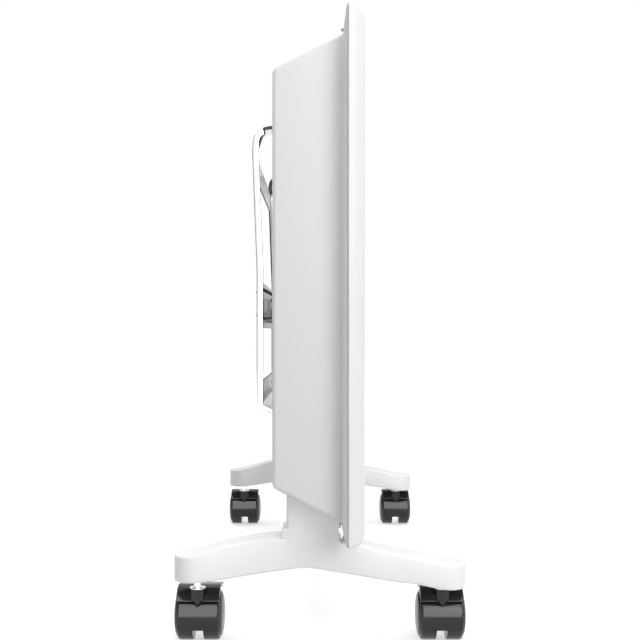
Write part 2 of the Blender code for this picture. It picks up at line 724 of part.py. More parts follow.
def make_outlet_grille():
    """The warm-air grille: a slotted face that fills the window, with a rim behind the sheet."""
    length = GRILLE_LENGTH - 2 * FIT_GAP
    height = GRILLE_HEIGHT - 2 * FIT_GAP
    slot_length = (length - 2 * GRILLE_BORDER - (GRILLE_SLOT_COLUMNS - 1) * GRILLE_BAR) / GRILLE_SLOT_COLUMNS
    slot_height = (height - 2 * GRILLE_BORDER - (GRILLE_SLOT_ROWS - 1) * GRILLE_BAR) / GRILLE_SLOT_ROWS
    slots = []
    for column in range(GRILLE_SLOT_COLUMNS):
        across = (column - (GRILLE_SLOT_COLUMNS - 1) / 2) * (slot_length + GRILLE_BAR)
        for row in range(GRILLE_SLOT_ROWS):
            up = (row - (GRILLE_SLOT_ROWS - 1) / 2) * (slot_height + GRILLE_BAR)
            slots.append(rectangle(slot_length, slot_height, (across, up)))
    depth_y = PANEL_FRONT_Y + GRILLE_DEPTH / 2
    grille = plate("outlet_grille", [rectangle(length, height), *slots], GRILLE_DEPTH,
                   (0.0, depth_y, GRILLE_Z), FRONT_VIEW, "white_moulding")
    rim_front = PANEL_FRONT_Y + PANEL_WALL + FIT_GAP
    margin = GRILLE_BORDER / 2
    rim = plate("grille_rim", [rectangle(length + 2 * GRILLE_RIM, height + 2 * GRILLE_RIM),
                               rectangle(length - 2 * margin, height - 2 * margin)],
                GRILLE_RIM_WALL, (0.0, rim_front + GRILLE_RIM_WALL / 2, GRILLE_Z), FRONT_VIEW)
    combine(grille, rim, "UNION")


def make_rear_casing():
    """The tub with its flange, inlet slots, bracket slots and the holes of what passes through it."""
    tip_y = FLANGE_FRONT_Y + FLANGE_TIP
    section = [(FLANGE_FRONT_Y, PANEL_BOTTOM_Z), (FLANGE_FRONT_Y, PANEL_TOP_Z), (tip_y, PANEL_TOP_Z),
               (FLANGE_REAR_Y, PANEL_TOP_Z - FLANGE_TOP_TAPER),
               (FLANGE_REAR_Y, PANEL_BOTTOM_Z + FLANGE_BOTTOM_TAPER),
               (tip_y, PANEL_BOTTOM_Z)]
    casing = plate("rear_casing", [section], PANEL_WIDTH, (0.0, 0.0, 0.0), END_VIEW, "white_enamel")
    middle_z = PANEL_BOTTOM_Z + PANEL_HEIGHT / 2
    plan = rounded(rectangle(PANEL_WIDTH, PANEL_HEIGHT), PANEL_CORNER_RADIUS)
    corner_keeper = plate("flange_plan", [plan], 2 * OVERRUN + FLANGE_THICKNESS,
                          (0.0, FLANGE_FRONT_Y + FLANGE_THICKNESS / 2, middle_z), FRONT_VIEW)
    combine(casing, corner_keeper, "INTERSECT")
    combine(casing, tub("tub_outside", 0.0, 0.0), "UNION")
    cut(casing, tub("tub_inside", CASING_WALL, FLANGE_THICKNESS + OVERRUN))
    cut(casing, inlet_cutter(), *bracket_slot_cutters(), *control_cutters())
    gland_hole = rod("gland_hole", GLAND_BARREL_RADIUS + FIT_GAP, 2 * OVERRUN,
                     (GLAND_X, CASING_REAR_Y, GLAND_Z), ALONG_Y)
    cut(casing, gland_hole)
    for side, seat in casing_screw_seats().items():
        cut(casing, screw_hole(f"flange_hole_{side}", seat, CASING_SCREW_RADIUS))
    for side, seat in foot_screw_seats().items():
        cut(casing, screw_hole(f"flange_foot_hole_{side}", seat, FOOT_SCREW_RADIUS))


def inlet_cutter():
    """One row of inlet slots, square to the bottom slope and between the feet."""
    slope = math.atan2(CASING_REAR_BOTTOM_RISE - CASING_FRONT_BOTTOM_RISE, CASING_DEPTH)
    centre = (0.0, CASING_MID_Y, casing_bottom_z(CASING_MID_Y))
    places = [((slot - (INLET_SLOTS - 1) / 2) * INLET_PITCH, 0.0, 0.0) for slot in range(INLET_SLOTS)]
    return box_row("inlet_slots", (INLET_LENGTH, INLET_WIDTH, 2 * OVERRUN), places, centre, None,
                   (slope, 0.0, 0.0))


def tongue_centres():
    """Middle of each bracket tongue along X."""
    across = BRACKET_HALF - BRACKET_TONGUE_WIDTH / 2 - BRACKET_WALL
    return {"left": -across, "right": across}


def bracket_slot_cutters():
    """Slots in the rear wall that take the bracket's tongues."""
    size = (BRACKET_TONGUE_WIDTH + 2 * BRACKET_TONGUE_SLACK, 2 * OVERRUN,
            BRACKET_WALL + 2 * BRACKET_TONGUE_SLACK)
    return [box(f"tongue_slot_{side}", size, (across, CASING_REAR_Y, BRACKET_ARM_Z))
            for side, across in tongue_centres().items()]


def bracket_path():
    """The bracket's outer face from its tongue, over the top bend and down to its bottom flange."""
    arm_z = BRACKET_ARM_Z + BRACKET_WALL / 2
    crest = (BRACKET_FLAT_Y + BRACKET_LEAN, BRACKET_CREST_Z)
    bend = (crest[0] - BRACKET_BEND_BACK, arm_z - BRACKET_ARM_FALL)
    top = rounded([(CASING_REAR_Y + FIT_GAP, arm_z), bend, crest], BRACKET_BEND_RADIUS, closed=False,
                  steps=2 * CORNER_STEPS)
    return [(CASING_INNER_REAR_Y - BRACKET_TONGUE_REACH, arm_z), *top, (BRACKET_FLAT_Y, BRACKET_FLAT_HIGH_Z),
            (BRACKET_FLAT_Y, BRACKET_FLAT_LOW_Z), (CASING_REAR_Y, BRACKET_FLAT_LOW_Z - BRACKET_FOOT_DROP)]


def make_wall_bracket():
    """The folded bracket: tongues, uprights with folded sides, cross bars, wall holes and bottom flange."""
    path = bracket_path()
    bracket = folded_sheet("wall_bracket", path, BRACKET_WIDTH, BRACKET_WALL, (0.0, 0.0, 0.0), "zinc_plate",
                           BRACKET_FLANGE)
    depth = 2 * (BRACKET_STANDOFF + BRACKET_LEAN)
    inside = BRACKET_WIDTH - 2 * BRACKET_UPRIGHT
    for name, low, high in (("upper", BRACKET_MIDDLE_BAR_HIGH_Z, BRACKET_UPPER_WINDOW_HIGH_Z),
                            ("lower", BRACKET_LOWER_WINDOW_LOW_Z, BRACKET_MIDDLE_BAR_LOW_Z)):
        window = box(f"bracket_window_{name}", (inside, depth, high - low),
                     (0.0, BRACKET_FLAT_Y, (low + high) / 2))
        cut(bracket, window)
    tongue_x = tongue_centres()["right"]
    between = 2 * tongue_x - BRACKET_TONGUE_WIDTH
    top_gap = BRACKET_ARM_Z + OVERRUN - BRACKET_TOP_GAP_LOW_Z
    cut(bracket, box("between_tongues", (between, 3 * depth, top_gap),
                     (0.0, BRACKET_FLAT_Y, BRACKET_TOP_GAP_LOW_Z + top_gap / 2)))
    casing_room = (2 * BRACKET_WIDTH, depth, BRACKET_ARM_Z - BRACKET_WALL)
    cut(bracket, box("casing_room", casing_room,
                     (0.0, CASING_REAR_Y + FIT_GAP - depth / 2, casing_room[2] / 2)))
    nose = BRACKET_FLANGE + BRACKET_TONGUE_REACH + CASING_WALL + FIT_GAP
    for side, sign in (("left", -1), ("right", 1)):
        trim = (2 * OVERRUN, 2 * nose, 4 * OVERRUN)
        edge = sign * (tongue_x + BRACKET_TONGUE_WIDTH / 2 + OVERRUN)
        cut(bracket, box(f"tongue_trim_{side}", trim,
                         (edge, CASING_REAR_Y + BRACKET_FLANGE - nose, BRACKET_ARM_Z)))
    for row, height in (("upper", WALL_HOLE_UPPER_Z), ("lower", WALL_HOLE_LOWER_Z)):
        for side, sign in (("left", -1), ("right", 1)):
            cut(bracket, rod(f"wall_hole_{row}_{side}", WALL_HOLE_RADIUS, depth,
                             (sign * WALL_HOLE_X, BRACKET_FLAT_Y, height), ALONG_Y, None, SMALL_STEPS))
    for name, (across, height) in rivet_places().items():
        cut(bracket, rod(f"bracket_rivet_hole_{name}", RIVET_RADIUS + FIT_GAP, depth,
                         (across, BRACKET_FLAT_Y, height), ALONG_Y, None, SMALL_STEPS))


def catch_centres():
    """Middle of each catch along X."""
    across = BRACKET_HALF - CATCH_INSET
    return {"left": -across, "right": across}


def rivet_places():
    """(x, z) of each rivet, by name."""
    return {f"{side}_{row}": (across, height) for side, across in catch_centres().items()
            for row, height in (("upper", RIVET_HIGH_Z), ("lower", RIVET_LOW_Z))}


def make_catches():
    """Two sprung catches: a closed loop of strip with a round cheek, riveted to the bracket."""
    back_y = BRACKET_FLAT_Y - BRACKET_WALL - FIT_GAP
    nose_y = CASING_REAR_Y + FIT_GAP
    outside = [(back_y, CATCH_LOW_Z), (back_y, CATCH_HIGH_Z), (nose_y, CATCH_HIGH_Z - CATCH_SLOPE),
               (nose_y, CATCH_LOW_Z + CATCH_RISE)]
    inside = [(back_y - CATCH_WALL, CATCH_LOW_Z + CATCH_WALL),
              (back_y - CATCH_WALL, CATCH_HIGH_Z - 2 * CATCH_WALL),
              (nose_y + CATCH_WALL, CATCH_HIGH_Z - CATCH_SLOPE - CATCH_WALL),
              (nose_y + CATCH_WALL, CATCH_LOW_Z + CATCH_RISE + CATCH_WALL)]
    for side, across in catch_centres().items():
        catch = plate(f"bracket_catch_{side}", [outside, inside], CATCH_WIDTH, (across, 0.0, 0.0), END_VIEW,
                      "dark_steel")
        cheek_x = across + math.copysign(CATCH_WIDTH / 2 - CHEEK_WALL, across)
        round_side = arc(CHEEK_RADIUS, -math.pi / 2, -3 * math.pi / 2, 2 * CORNER_STEPS + 2,
                         (back_y - CATCH_WALL / 2, CHEEK_Z))
        combine(catch, plate(f"catch_cheek_{side}", [round_side], CHEEK_WALL, (cheek_x, 0.0, 0.0), END_VIEW),
                "UNION")
        for row, height in (("upper", RIVET_HIGH_Z), ("lower", RIVET_LOW_Z)):
            cut(catch, rod(f"catch_hole_{side}_{row}", RIVET_RADIUS + FIT_GAP, 4 * CATCH_WALL,
                           (across, back_y, height), ALONG_Y, None, SMALL_STEPS))
    shank = BRACKET_WALL + FIT_GAP + CATCH_WALL
    for name, (across, height) in rivet_places().items():
        screw(f"bracket_rivet_{name}", (across, BRACKET_FLAT_Y + FIT_GAP, height), ALONG_Y, RIVET_HEAD_RADIUS,
              RIVET_HEAD_HEIGHT, RIVET_RADIUS, shank, "zinc_plate")


def foot_underside_z(across):
    """Height of a foot's underside at a depth."""
    arch = (FOOT_ARCH_Y, FOOT_ARCH_Z)
    if across > FOOT_ARCH_Y:
        return blend_height(REAR_UNDERSIDE_SHARES, (FOOT_REACH, REAR_TIP_LOW_Z), arch, across)
    return blend_height(FRONT_UNDERSIDE_SHARES, (-FOOT_REACH, FRONT_TIP_LOW_Z), arch, across)


def foot_side_outline():
    """The foot seen from its side: underside with its arch, both arms, the post and its tab."""
    rear_low, front_low = (FOOT_REACH, REAR_TIP_LOW_Z), (-FOOT_REACH, FRONT_TIP_LOW_Z)
    rear_high, front_high = (FOOT_REACH, REAR_TIP_HIGH_Z), (-FOOT_REACH, FRONT_TIP_HIGH_Z)
    arch = (FOOT_ARCH_Y, FOOT_ARCH_Z)
    rear_root = (POST_REAR_Y + POST_TAB_DEPTH, REAR_ROOT_HIGH_Z)
    front_root = (POST_FRONT_Y, FRONT_ROOT_HIGH_Z)
    slope = (CASING_REAR_BOTTOM_RISE - CASING_FRONT_BOTTOM_RISE) / CASING_DEPTH
    under_casing = FIT_GAP * math.hypot(1.0, slope)
    tab_top_y = POST_REAR_Y + POST_TAB_DEPTH * POST_TAB_TOP_SHARE
    return [rear_low, *arm_points(REAR_UNDERSIDE_SHARES, rear_low, arch), arch,
            *reversed(arm_points(FRONT_UNDERSIDE_SHARES, front_low, arch)), front_low, front_high,
            *arm_points(FRONT_TOP_SHARES, front_high, front_root), front_root,
            (POST_FRONT_Y, casing_bottom_z(POST_FRONT_Y) - under_casing),
            (POST_REAR_Y, casing_bottom_z(POST_REAR_Y) - under_casing),
            (POST_REAR_Y, POST_TAB_HIGH_Z), (tab_top_y, POST_TAB_HIGH_Z),
            (POST_REAR_Y + POST_TAB_DEPTH, POST_TAB_LOW_Z), rear_root,
            *reversed(arm_points(REAR_TOP_SHARES, rear_high, rear_root)), rear_high]


def foot_plan_outline():
    """The foot seen from above: round tips about the stems, and a narrower waist."""
    rear_tip = arc(FOOT_HALF_WIDTH, 0.0, math.pi, FOOT_TIP_STEPS, (0.0, STEM_Y))
    front_tip = arc(FOOT_HALF_WIDTH, math.pi, math.tau, FOOT_TIP_STEPS, (0.0, -STEM_Y))
    return [*rear_tip, (-FOOT_WAIST_HALF_WIDTH, FOOT_WAIST_REACH),
            (-FOOT_WAIST_HALF_WIDTH, -FOOT_WAIST_REACH),
            *front_tip, (FOOT_WAIST_HALF_WIDTH, -FOOT_WAIST_REACH), (FOOT_WAIST_HALF_WIDTH, FOOT_WAIST_REACH)]


def make_feet():
    """Two feet with their stem sockets, their steel plates and bright screws."""
    screws = foot_screw_seats()
    for side, sign in (("left", -1), ("right", 1)):
        across = sign * FOOT_X
        foot = plate(f"foot_{side}", [foot_side_outline()], 2 * FOOT_HALF_WIDTH, (across, 0.0, 0.0), END_VIEW,
                     "white_moulding")
        height = 2 * PANEL_BOTTOM_Z
        combine(foot, plate(f"foot_plan_{side}", [foot_plan_outline()], height,
                            (across, 0.0, height / 2), ALONG_Z), "INTERSECT")
        soften(foot, FOOT_EDGE_RADIUS)
        for end, stem_y in (("front", -STEM_Y), ("rear", STEM_Y)):
            depth = STEM_SEAT_DEPTH + FIT_GAP + OVERRUN
            middle = foot_underside_z(stem_y) - OVERRUN + depth / 2
            cut(foot, rod(f"stem_socket_{end}_{side}", STEM_RADIUS + FIT_GAP, depth,
                          (across, stem_y, middle), ALONG_Z, None, SMALL_STEPS))
        middle_y = (FOOT_PLATE_FRONT_Y + FOOT_PLATE_REAR_Y) / 2
        foot_plate = box(f"foot_plate_{side}", (FOOT_PLATE_LENGTH, FOOT_PLATE_WALL, FOOT_PLATE_HEIGHT),
                         (across, middle_y, FOOT_PLATE_Z), "zinc_plate")
        for place in ("outer", "inner"):
            seat = screws[f"{side}_{place}"]
            cut(foot_plate, rod(f"foot_plate_hole_{side}_{place}", FOOT_SCREW_RADIUS + FIT_GAP, 2 * OVERRUN,
                                (seat[0], middle_y, seat[2]), ALONG_Y, None, SMALL_STEPS))
            screw(f"foot_screw_{side}_{place}", seat, ALONG_Y, FOOT_SCREW_HEAD_RADIUS, FOOT_SCREW_HEAD_HEIGHT,
                  FOOT_SCREW_RADIUS, FOOT_SCREW_LENGTH, "bright_chrome")
    for side, seat in casing_screw_seats().items():
        screw(f"casing_screw_{side}", seat, ALONG_Y, CASING_SCREW_HEAD_RADIUS, CASING_SCREW_HEAD_HEIGHT,
              CASING_SCREW_RADIUS, CASING_SCREW_LENGTH, "dark_steel")


def wheel_profile():
    """A wheel's half section, from the middle of its domed face down to its blind axle bore."""
    grow = 1.0 / math.cos(math.pi / WHEEL_STEPS)
    face_radius = WHEEL_RADIUS - WHEEL_CORNER
    face_rise = WHEEL_OUTER_FACE - WHEEL_RIM
    dome = [(face_radius * math.sin(turn), WHEEL_RIM + face_rise * math.cos(turn))
            for turn in (math.pi / 2 * step / WHEEL_DOME_STEPS for step in range(WHEEL_DOME_STEPS))]
    outer = arc(WHEEL_CORNER, math.pi / 2, 0.0, WHEEL_CORNER_STEPS, (face_radius, WHEEL_RIM - WHEEL_CORNER))
    inner = arc(WHEEL_CORNER, 0.0, -math.pi / 2, 1, (face_radius, WHEEL_INNER_FACE + WHEEL_CORNER))
    bore = AXLE_RADIUS + FIT_GAP
    end = AXLE_HALF + FIT_GAP
    return [(radius * grow, height) for radius, height in
            [*dome, *outer, *inner, (bore, WHEEL_INNER_FACE), (bore, end), (0.0, end)]]


def fender_outline():
    """The hood's band over the wheels, about the axle, with the flat tail that it runs out into."""
    tail_high = HOOD_OUTER_RADIUS * math.sin(HOOD_REAR_ANGLE)
    tail_low = tail_high - HOOD_TAIL_WALL
    outside = arc(HOOD_OUTER_RADIUS, HOOD_FRONT_ANGLE, HOOD_REAR_ANGLE, HOOD_ARC_STEPS)
    inside = arc(HOOD_INNER_RADIUS, math.asin(tail_low / HOOD_INNER_RADIUS), HOOD_FRONT_ANGLE, HOOD_ARC_STEPS)
    return [*outside, (HOOD_TAIL_REACH, tail_high), (HOOD_TAIL_REACH, tail_low), *inside]


def web_outline():
    """The wall between the wheels, about the axle: into the band above, with a flat bottom."""
    joint_radius = (HOOD_OUTER_RADIUS + HOOD_INNER_RADIUS) / 2
    ease = math.asin(WEB_HALF_THICKNESS / WEB_RADIUS) / 2
    under = math.asin((WHEEL_RADIUS - WEB_BOTTOM_Z) / WEB_RADIUS)
    return [*arc(joint_radius, HOOD_REAR_ANGLE + ease, HOOD_FRONT_ANGLE - ease, WEB_ARC_STEPS),
            *arc(WEB_RADIUS, HOOD_FRONT_ANGLE, math.pi + under, WEB_ARC_STEPS),
            *arc(WEB_RADIUS, -under, HOOD_REAR_ANGLE, WEB_ARC_STEPS)]


def make_hood(name, stem_x, stem_y):
    """A caster's body: web, fender with its tail, and the boss that holds the stem."""
    axle = (stem_x + CASTER_TRAIL, stem_y, WHEEL_RADIUS)
    hood = turned(f"{name}_hood", [(0.0, BOSS_TOP_Z), (BOSS_RADIUS, BOSS_TOP_Z),
                                   (BOSS_RADIUS, BOSS_SHOULDER_Z), (0.0, BOSS_TIP_Z)],
                  (stem_x, stem_y, 0.0), ALONG_Z, "black_hood")
    combine(hood, plate(f"{name}_fender", [fender_outline()], 2 * HOOD_HALF_WIDTH, axle, FRONT_VIEW), "UNION")
    combine(hood, plate(f"{name}_web", [web_outline()], 2 * WEB_HALF_THICKNESS, axle, FRONT_VIEW), "UNION")
    start = WHEEL_INNER_FACE - FIT_GAP
    width = HOOD_HALF_WIDTH + OVERRUN - start
    for side, sign in (("a", -1), ("b", 1)):
        middle = stem_y + sign * (start + width / 2)
        cut(hood, rod(f"{name}_wheel_room_{side}", WHEEL_RADIUS + RUN_GAP, width,
                      (axle[0], middle, axle[2]), ALONG_Y, None, WHEEL_STEPS))
    depth = BOSS_TOP_Z - BOSS_SHOULDER_Z + OVERRUN
    cut(hood, rod(f"{name}_stem_bore", STEM_RADIUS + FIT_GAP, depth,
                  (stem_x, stem_y, BOSS_SHOULDER_Z + depth / 2), ALONG_Z, None, SMALL_STEPS))
    cut(hood, rod(f"{name}_axle_bore", AXLE_RADIUS + FIT_GAP, 2 * WEB_HALF_THICKNESS + OVERRUN,
                  axle, ALONG_Y, None, SMALL_STEPS))
    return hood


def make_caster(name, stem_x, stem_y):
    """One caster: stem and collar fixed in the foot, hood on the stem, wheels on their axle."""
    swivel = bpy.data.objects.new(f"{name}_swivel", None)
    swivel.location = (stem_x, stem_y, BOSS_SHOULDER_Z)
    bpy.data.collections["convector_heater"].objects.link(swivel)
    hang(swivel, make_hood(name, stem_x, stem_y))
    stem_low = BOSS_SHOULDER_Z + FIT_GAP
    stem_high = foot_underside_z(stem_y) + STEM_SEAT_DEPTH
    height = stem_high - stem_low
    slim = STEM_RADIUS - STEM_CHAMFER
    turned(f"{name}_stem", [(0.0, height), (slim, height), (STEM_RADIUS, height - STEM_CHAMFER),
                            (STEM_RADIUS, STEM_CHAMFER), (slim, 0.0), (0.0, 0.0)],
           (stem_x, stem_y, stem_low), ALONG_Z, "bright_chrome", SMALL_STEPS)
    bore = STEM_RADIUS + FIT_GAP
    turned(f"{name}_collar", [(bore, COLLAR_THICKNESS), (COLLAR_RADIUS - STEM_CHAMFER, COLLAR_THICKNESS),
                              (COLLAR_RADIUS, COLLAR_THICKNESS / 2), (COLLAR_RADIUS, 0.0), (bore, 0.0)],
           (stem_x, stem_y, BOSS_TOP_Z + FIT_GAP), ALONG_Z, "bright_chrome", SMALL_STEPS, closed=True)
    axle = (stem_x + CASTER_TRAIL, stem_y, WHEEL_RADIUS)
    hang(swivel, rod(f"{name}_axle", AXLE_RADIUS, 2 * AXLE_HALF, axle, ALONG_Y, "dark_steel", SMALL_STEPS))
    for side, turn in (("a", ALONG_MINUS_Y), ("b", ALONG_Y)):
        hang(swivel, turned(f"{name}_wheel_{side}", wheel_profile(), axle, turn, "black_tread", WHEEL_STEPS,
                            phase=math.pi / WHEEL_STEPS))


def make_casters():
    """Four casters, one under each arm of the feet."""
    for side, sign in (("left", -1), ("right", 1)):
        for end, stem_y in (("front", -STEM_Y), ("rear", STEM_Y)):
            make_caster(f"caster_{end}_{side}", sign * FOOT_X, stem_y)


def element_outline():
    """The finned extrusion's X-shaped section about its core."""
    tip = (ELEMENT_HALF_DEPTH, ELEMENT_HALF_HEIGHT)
    length = math.hypot(*tip)
    lean = math.atan2(tip[1], tip[0])
    half = ELEMENT_ARM_WALL / 2
    root = math.sqrt(ELEMENT_CORE_RADIUS ** 2 - half ** 2)
    points = []
    for turn in (lean, math.pi - lean, math.pi + lean, -lean):
        for along, aside in ((root, -half), (length, -half), (length, half), (root, half)):
            points.append((along * math.cos(turn) - aside * math.sin(turn),
                           along * math.sin(turn) + aside * math.cos(turn)))
    return points


def make_heating_element():
    """The element: finned extrusion, sheathed rod, end supports, and the shield with its cut-out."""
    centre = (ELEMENT_CENTRE_X, ELEMENT_CENTRE_Y, ELEMENT_CENTRE_Z)
    bore = circle(SHEATH_RADIUS + FIT_GAP)
    plate("element_fins", [element_outline(), bore], ELEMENT_LENGTH, centre, END_VIEW, "aluminium_fins")
    half = ELEMENT_LENGTH / 2 + SHEATH_OVERHANG
    tip = half + SHEATH_PIN_LENGTH
    turned("element_sheath", [(0.0, tip), (SHEATH_PIN_RADIUS, tip), (SHEATH_PIN_RADIUS, half),
                              (SHEATH_RADIUS, half), (SHEATH_RADIUS, -half), (SHEATH_PIN_RADIUS, -half),
                              (SHEATH_PIN_RADIUS, -tip), (0.0, -tip)],
           centre, ALONG_X, "sheath_steel", ROUND_STEPS)
    rear_y = CASING_INNER_REAR_Y - FIT_GAP
    front_y = ELEMENT_CENTRE_Y - SUPPORT_FRONT_REACH
    for side, sign in (("left", -1), ("right", 1)):
        across = ELEMENT_CENTRE_X + sign * (ELEMENT_LENGTH / 2 + SUPPORT_STANDOFF)
        sheet = [(front_y, ELEMENT_CENTRE_Z - SUPPORT_HEIGHT / 2),
                 (rear_y, ELEMENT_CENTRE_Z - SUPPORT_HEIGHT / 2),
                 (rear_y, ELEMENT_CENTRE_Z + SUPPORT_HEIGHT / 2),
                 (front_y, ELEMENT_CENTRE_Z + SUPPORT_HEIGHT / 2)]
        hole = circle(SHEATH_RADIUS + FIT_GAP, (ELEMENT_CENTRE_Y, ELEMENT_CENTRE_Z))
        support = plate(f"element_support_{side}", [sheet, hole], SUPPORT_WALL, (across, 0.0, 0.0), END_VIEW,
                        "zinc_plate")
        foot = box(f"support_foot_{side}", (SUPPORT_FOOT, SUPPORT_WALL, SUPPORT_HEIGHT),
                   (across + sign * (SUPPORT_FOOT - SUPPORT_WALL) / 2, rear_y - SUPPORT_WALL / 2,
                    ELEMENT_CENTRE_Z))
        combine(support, foot, "UNION")
    make_heat_shield()


def make_heat_shield():
    """A stepped sheet that stands off the rear wall behind the element, with the overheat cut-out on it."""
    wall_y = CASING_INNER_REAR_Y - FIT_GAP
    face_y = wall_y - SHIELD_STANDOFF
    path = [(wall_y, SHIELD_HIGH_Z + SHIELD_STEP + SHIELD_FLANGE), (wall_y, SHIELD_HIGH_Z + SHIELD_STEP),
            (face_y, SHIELD_HIGH_Z), (face_y, SHIELD_LOW_Z), (wall_y, SHIELD_LOW_Z - SHIELD_STEP),
            (wall_y, SHIELD_LOW_Z - SHIELD_STEP - SHIELD_FLANGE / 2)]
    width = ELEMENT_LENGTH + 2 * SUPPORT_STANDOFF - SUPPORT_WALL - 2 * SHIELD_END_GAP
    folded_sheet("heat_shield", path, width, SHIELD_WALL, (ELEMENT_CENTRE_X, 0.0, 0.0), "zinc_plate")
    seat_y = face_y - SHIELD_WALL - FIT_GAP
    seat = (ELEMENT_CENTRE_X + CUTOUT_X, seat_y, SHIELD_HIGH_Z - CUTOUT_DROP)
    cutout = rod("thermal_cutout", CUTOUT_RADIUS, CUTOUT_DEPTH,
                 (seat[0], seat[1] - CUTOUT_DEPTH / 2, seat[2]), ALONG_Y, "black_plastic")
    blades = box_row("cutout_blades", (CUTOUT_BLADE_WALL, CUTOUT_BLADE_LENGTH, CUTOUT_BLADE_WIDTH),
                     [(-CUTOUT_BLADE_SPREAD / 2, 0.0, 0.0), (CUTOUT_BLADE_SPREAD / 2, 0.0, 0.0)],
                     (seat[0], seat[1] - CUTOUT_DEPTH, seat[2]))
    combine(cutout, blades, "UNION")


def make_wall_boxes():
    """Tip-over switch on the right end wall, terminal block on the rear wall, and the lead's gland."""
    end_x = CASING_HALF - CASING_WALL - FIT_GAP
    tip_switch = box("tip_over_switch", TIP_SWITCH_SIZE,
                     (end_x - TIP_SWITCH_SIZE[0] / 2, CASING_MID_Y, TIP_SWITCH_Z), "grey_plastic")
    soften(tip_switch, BLOCK_EDGE)
    rear_y = CASING_INNER_REAR_Y - FIT_GAP
    front_y = rear_y - TERMINAL_SIZE[1]
    terminal = box("terminal_block", TERMINAL_SIZE, (TERMINAL_X, (rear_y + front_y) / 2, TERMINAL_Z),
                   "grey_plastic")
    soften(terminal, BLOCK_EDGE)
    for well in range(TERMINAL_WELLS):
        across = TERMINAL_X + (well - (TERMINAL_WELLS - 1) / 2) * TERMINAL_WELL_PITCH
        cut(terminal, rod(f"terminal_well_{well}", TERMINAL_WELL_RADIUS, 2 * TERMINAL_WELL_DEPTH,
                          (across, front_y, TERMINAL_Z), ALONG_Y, None, SMALL_STEPS))
    inner = CASING_WALL + GLAND_INNER
    turned("cable_gland", [(GLAND_BORE_RADIUS, GLAND_FLANGE + GLAND_NOZZLE),
                           (GLAND_NOZZLE_RADIUS, GLAND_FLANGE + GLAND_NOZZLE),
                           (GLAND_BARREL_RADIUS, GLAND_FLANGE), (GLAND_FLANGE_RADIUS, GLAND_FLANGE),
                           (GLAND_FLANGE_RADIUS, 0.0), (GLAND_BARREL_RADIUS, 0.0),
                           (GLAND_BARREL_RADIUS, -inner), (GLAND_BORE_RADIUS, -inner)],
           (GLAND_X, CASING_REAR_Y + FIT_GAP, GLAND_Z), ALONG_Y, "black_plastic", ROUND_STEPS, closed=True)


def control_cutters():
    """Holes in the right end wall for the thermostat's neck, the heat switch and the pilot lamp."""
    opening = (2 * OVERRUN, 2 * SWITCH_OPENING_HALF_WIDTH, 2 * SWITCH_OPENING_HALF_LENGTH)
    neck_hole = rod("neck_hole", NECK_RADIUS + FIT_GAP, 2 * OVERRUN,
                    (CASING_HALF, CASING_MID_Y, KNOB_Z), ALONG_X)
    lens_hole = rod("lens_hole", LENS_RADIUS + FIT_GAP, 2 * OVERRUN,
                    (CASING_HALF, CASING_MID_Y, LENS_Z), ALONG_X, None, SMALL_STEPS)
    return [neck_hole, box("switch_opening", opening, (CASING_HALF, CASING_MID_Y, ROCKER_Z)), lens_hole]


def make_thermostat():
    """Thermostat body with its threaded neck, the shaft that turns in it, and the knob on the shaft."""
    inner_x = CASING_HALF - CASING_WALL - FIT_GAP
    body = box("thermostat_body", THERMOSTAT_SIZE, (inner_x - THERMOSTAT_SIZE[0] / 2, CASING_MID_Y, KNOB_Z),
               "grey_plastic")
    soften(body, BLOCK_EDGE)
    neck_end = BEZEL_X + BEZEL_WALL
    neck_length = neck_end - inner_x + THERMOSTAT_SIZE[0] / 2
    combine(body, rod("thermostat_neck", NECK_RADIUS, neck_length,
                      (neck_end - neck_length / 2, CASING_MID_Y, KNOB_Z), ALONG_X), "UNION")
    shaft_low = inner_x - SHAFT_TAIL
    bore_length = neck_end - shaft_low + FIT_GAP + OVERRUN
    cut(body, rod("shaft_bore", SHAFT_RADIUS + FIT_GAP, bore_length,
                  (shaft_low - FIT_GAP + bore_length / 2, CASING_MID_Y, KNOB_Z), ALONG_X, None, SMALL_STEPS))
    knob_x = neck_end + RUN_GAP
    shaft_length = knob_x + SHAFT_SEAT - shaft_low
    shaft = rod("thermostat_shaft", SHAFT_RADIUS, shaft_length,
                (shaft_low + shaft_length / 2, CASING_MID_Y, KNOB_Z), ALONG_X, "zinc_plate", SMALL_STEPS)
    bore = SHAFT_RADIUS + FIT_GAP
    seat = SHAFT_SEAT + FIT_GAP
    knob = turned("thermostat_knob", [(0.0, KNOB_DEPTH), (KNOB_GRIP_RADIUS - KNOB_EDGE, KNOB_DEPTH),
                                      (KNOB_GRIP_RADIUS, KNOB_DEPTH - KNOB_EDGE),
                                      (KNOB_GRIP_RADIUS, KNOB_SKIRT),
                                      (KNOB_RADIUS, KNOB_SKIRT - KNOB_EDGE), (KNOB_RADIUS, 0.0), (bore, 0.0),
                                      (bore, seat), (0.0, seat)],
                  (knob_x, CASING_MID_Y, KNOB_Z), ALONG_X, "white_moulding", ROUND_STEPS)
    hang(knob, shaft)
    mark_z = KNOB_Z + KNOB_GRIP_RADIUS - (KNOB_GRIP_RADIUS - OVERRUN) / 2
    cut(knob, box("knob_mark", (2 * KNOB_MARK_DEPTH, KNOB_MARK_WIDTH, KNOB_GRIP_RADIUS + OVERRUN),
                  (knob_x + KNOB_DEPTH, CASING_MID_Y, mark_z)))


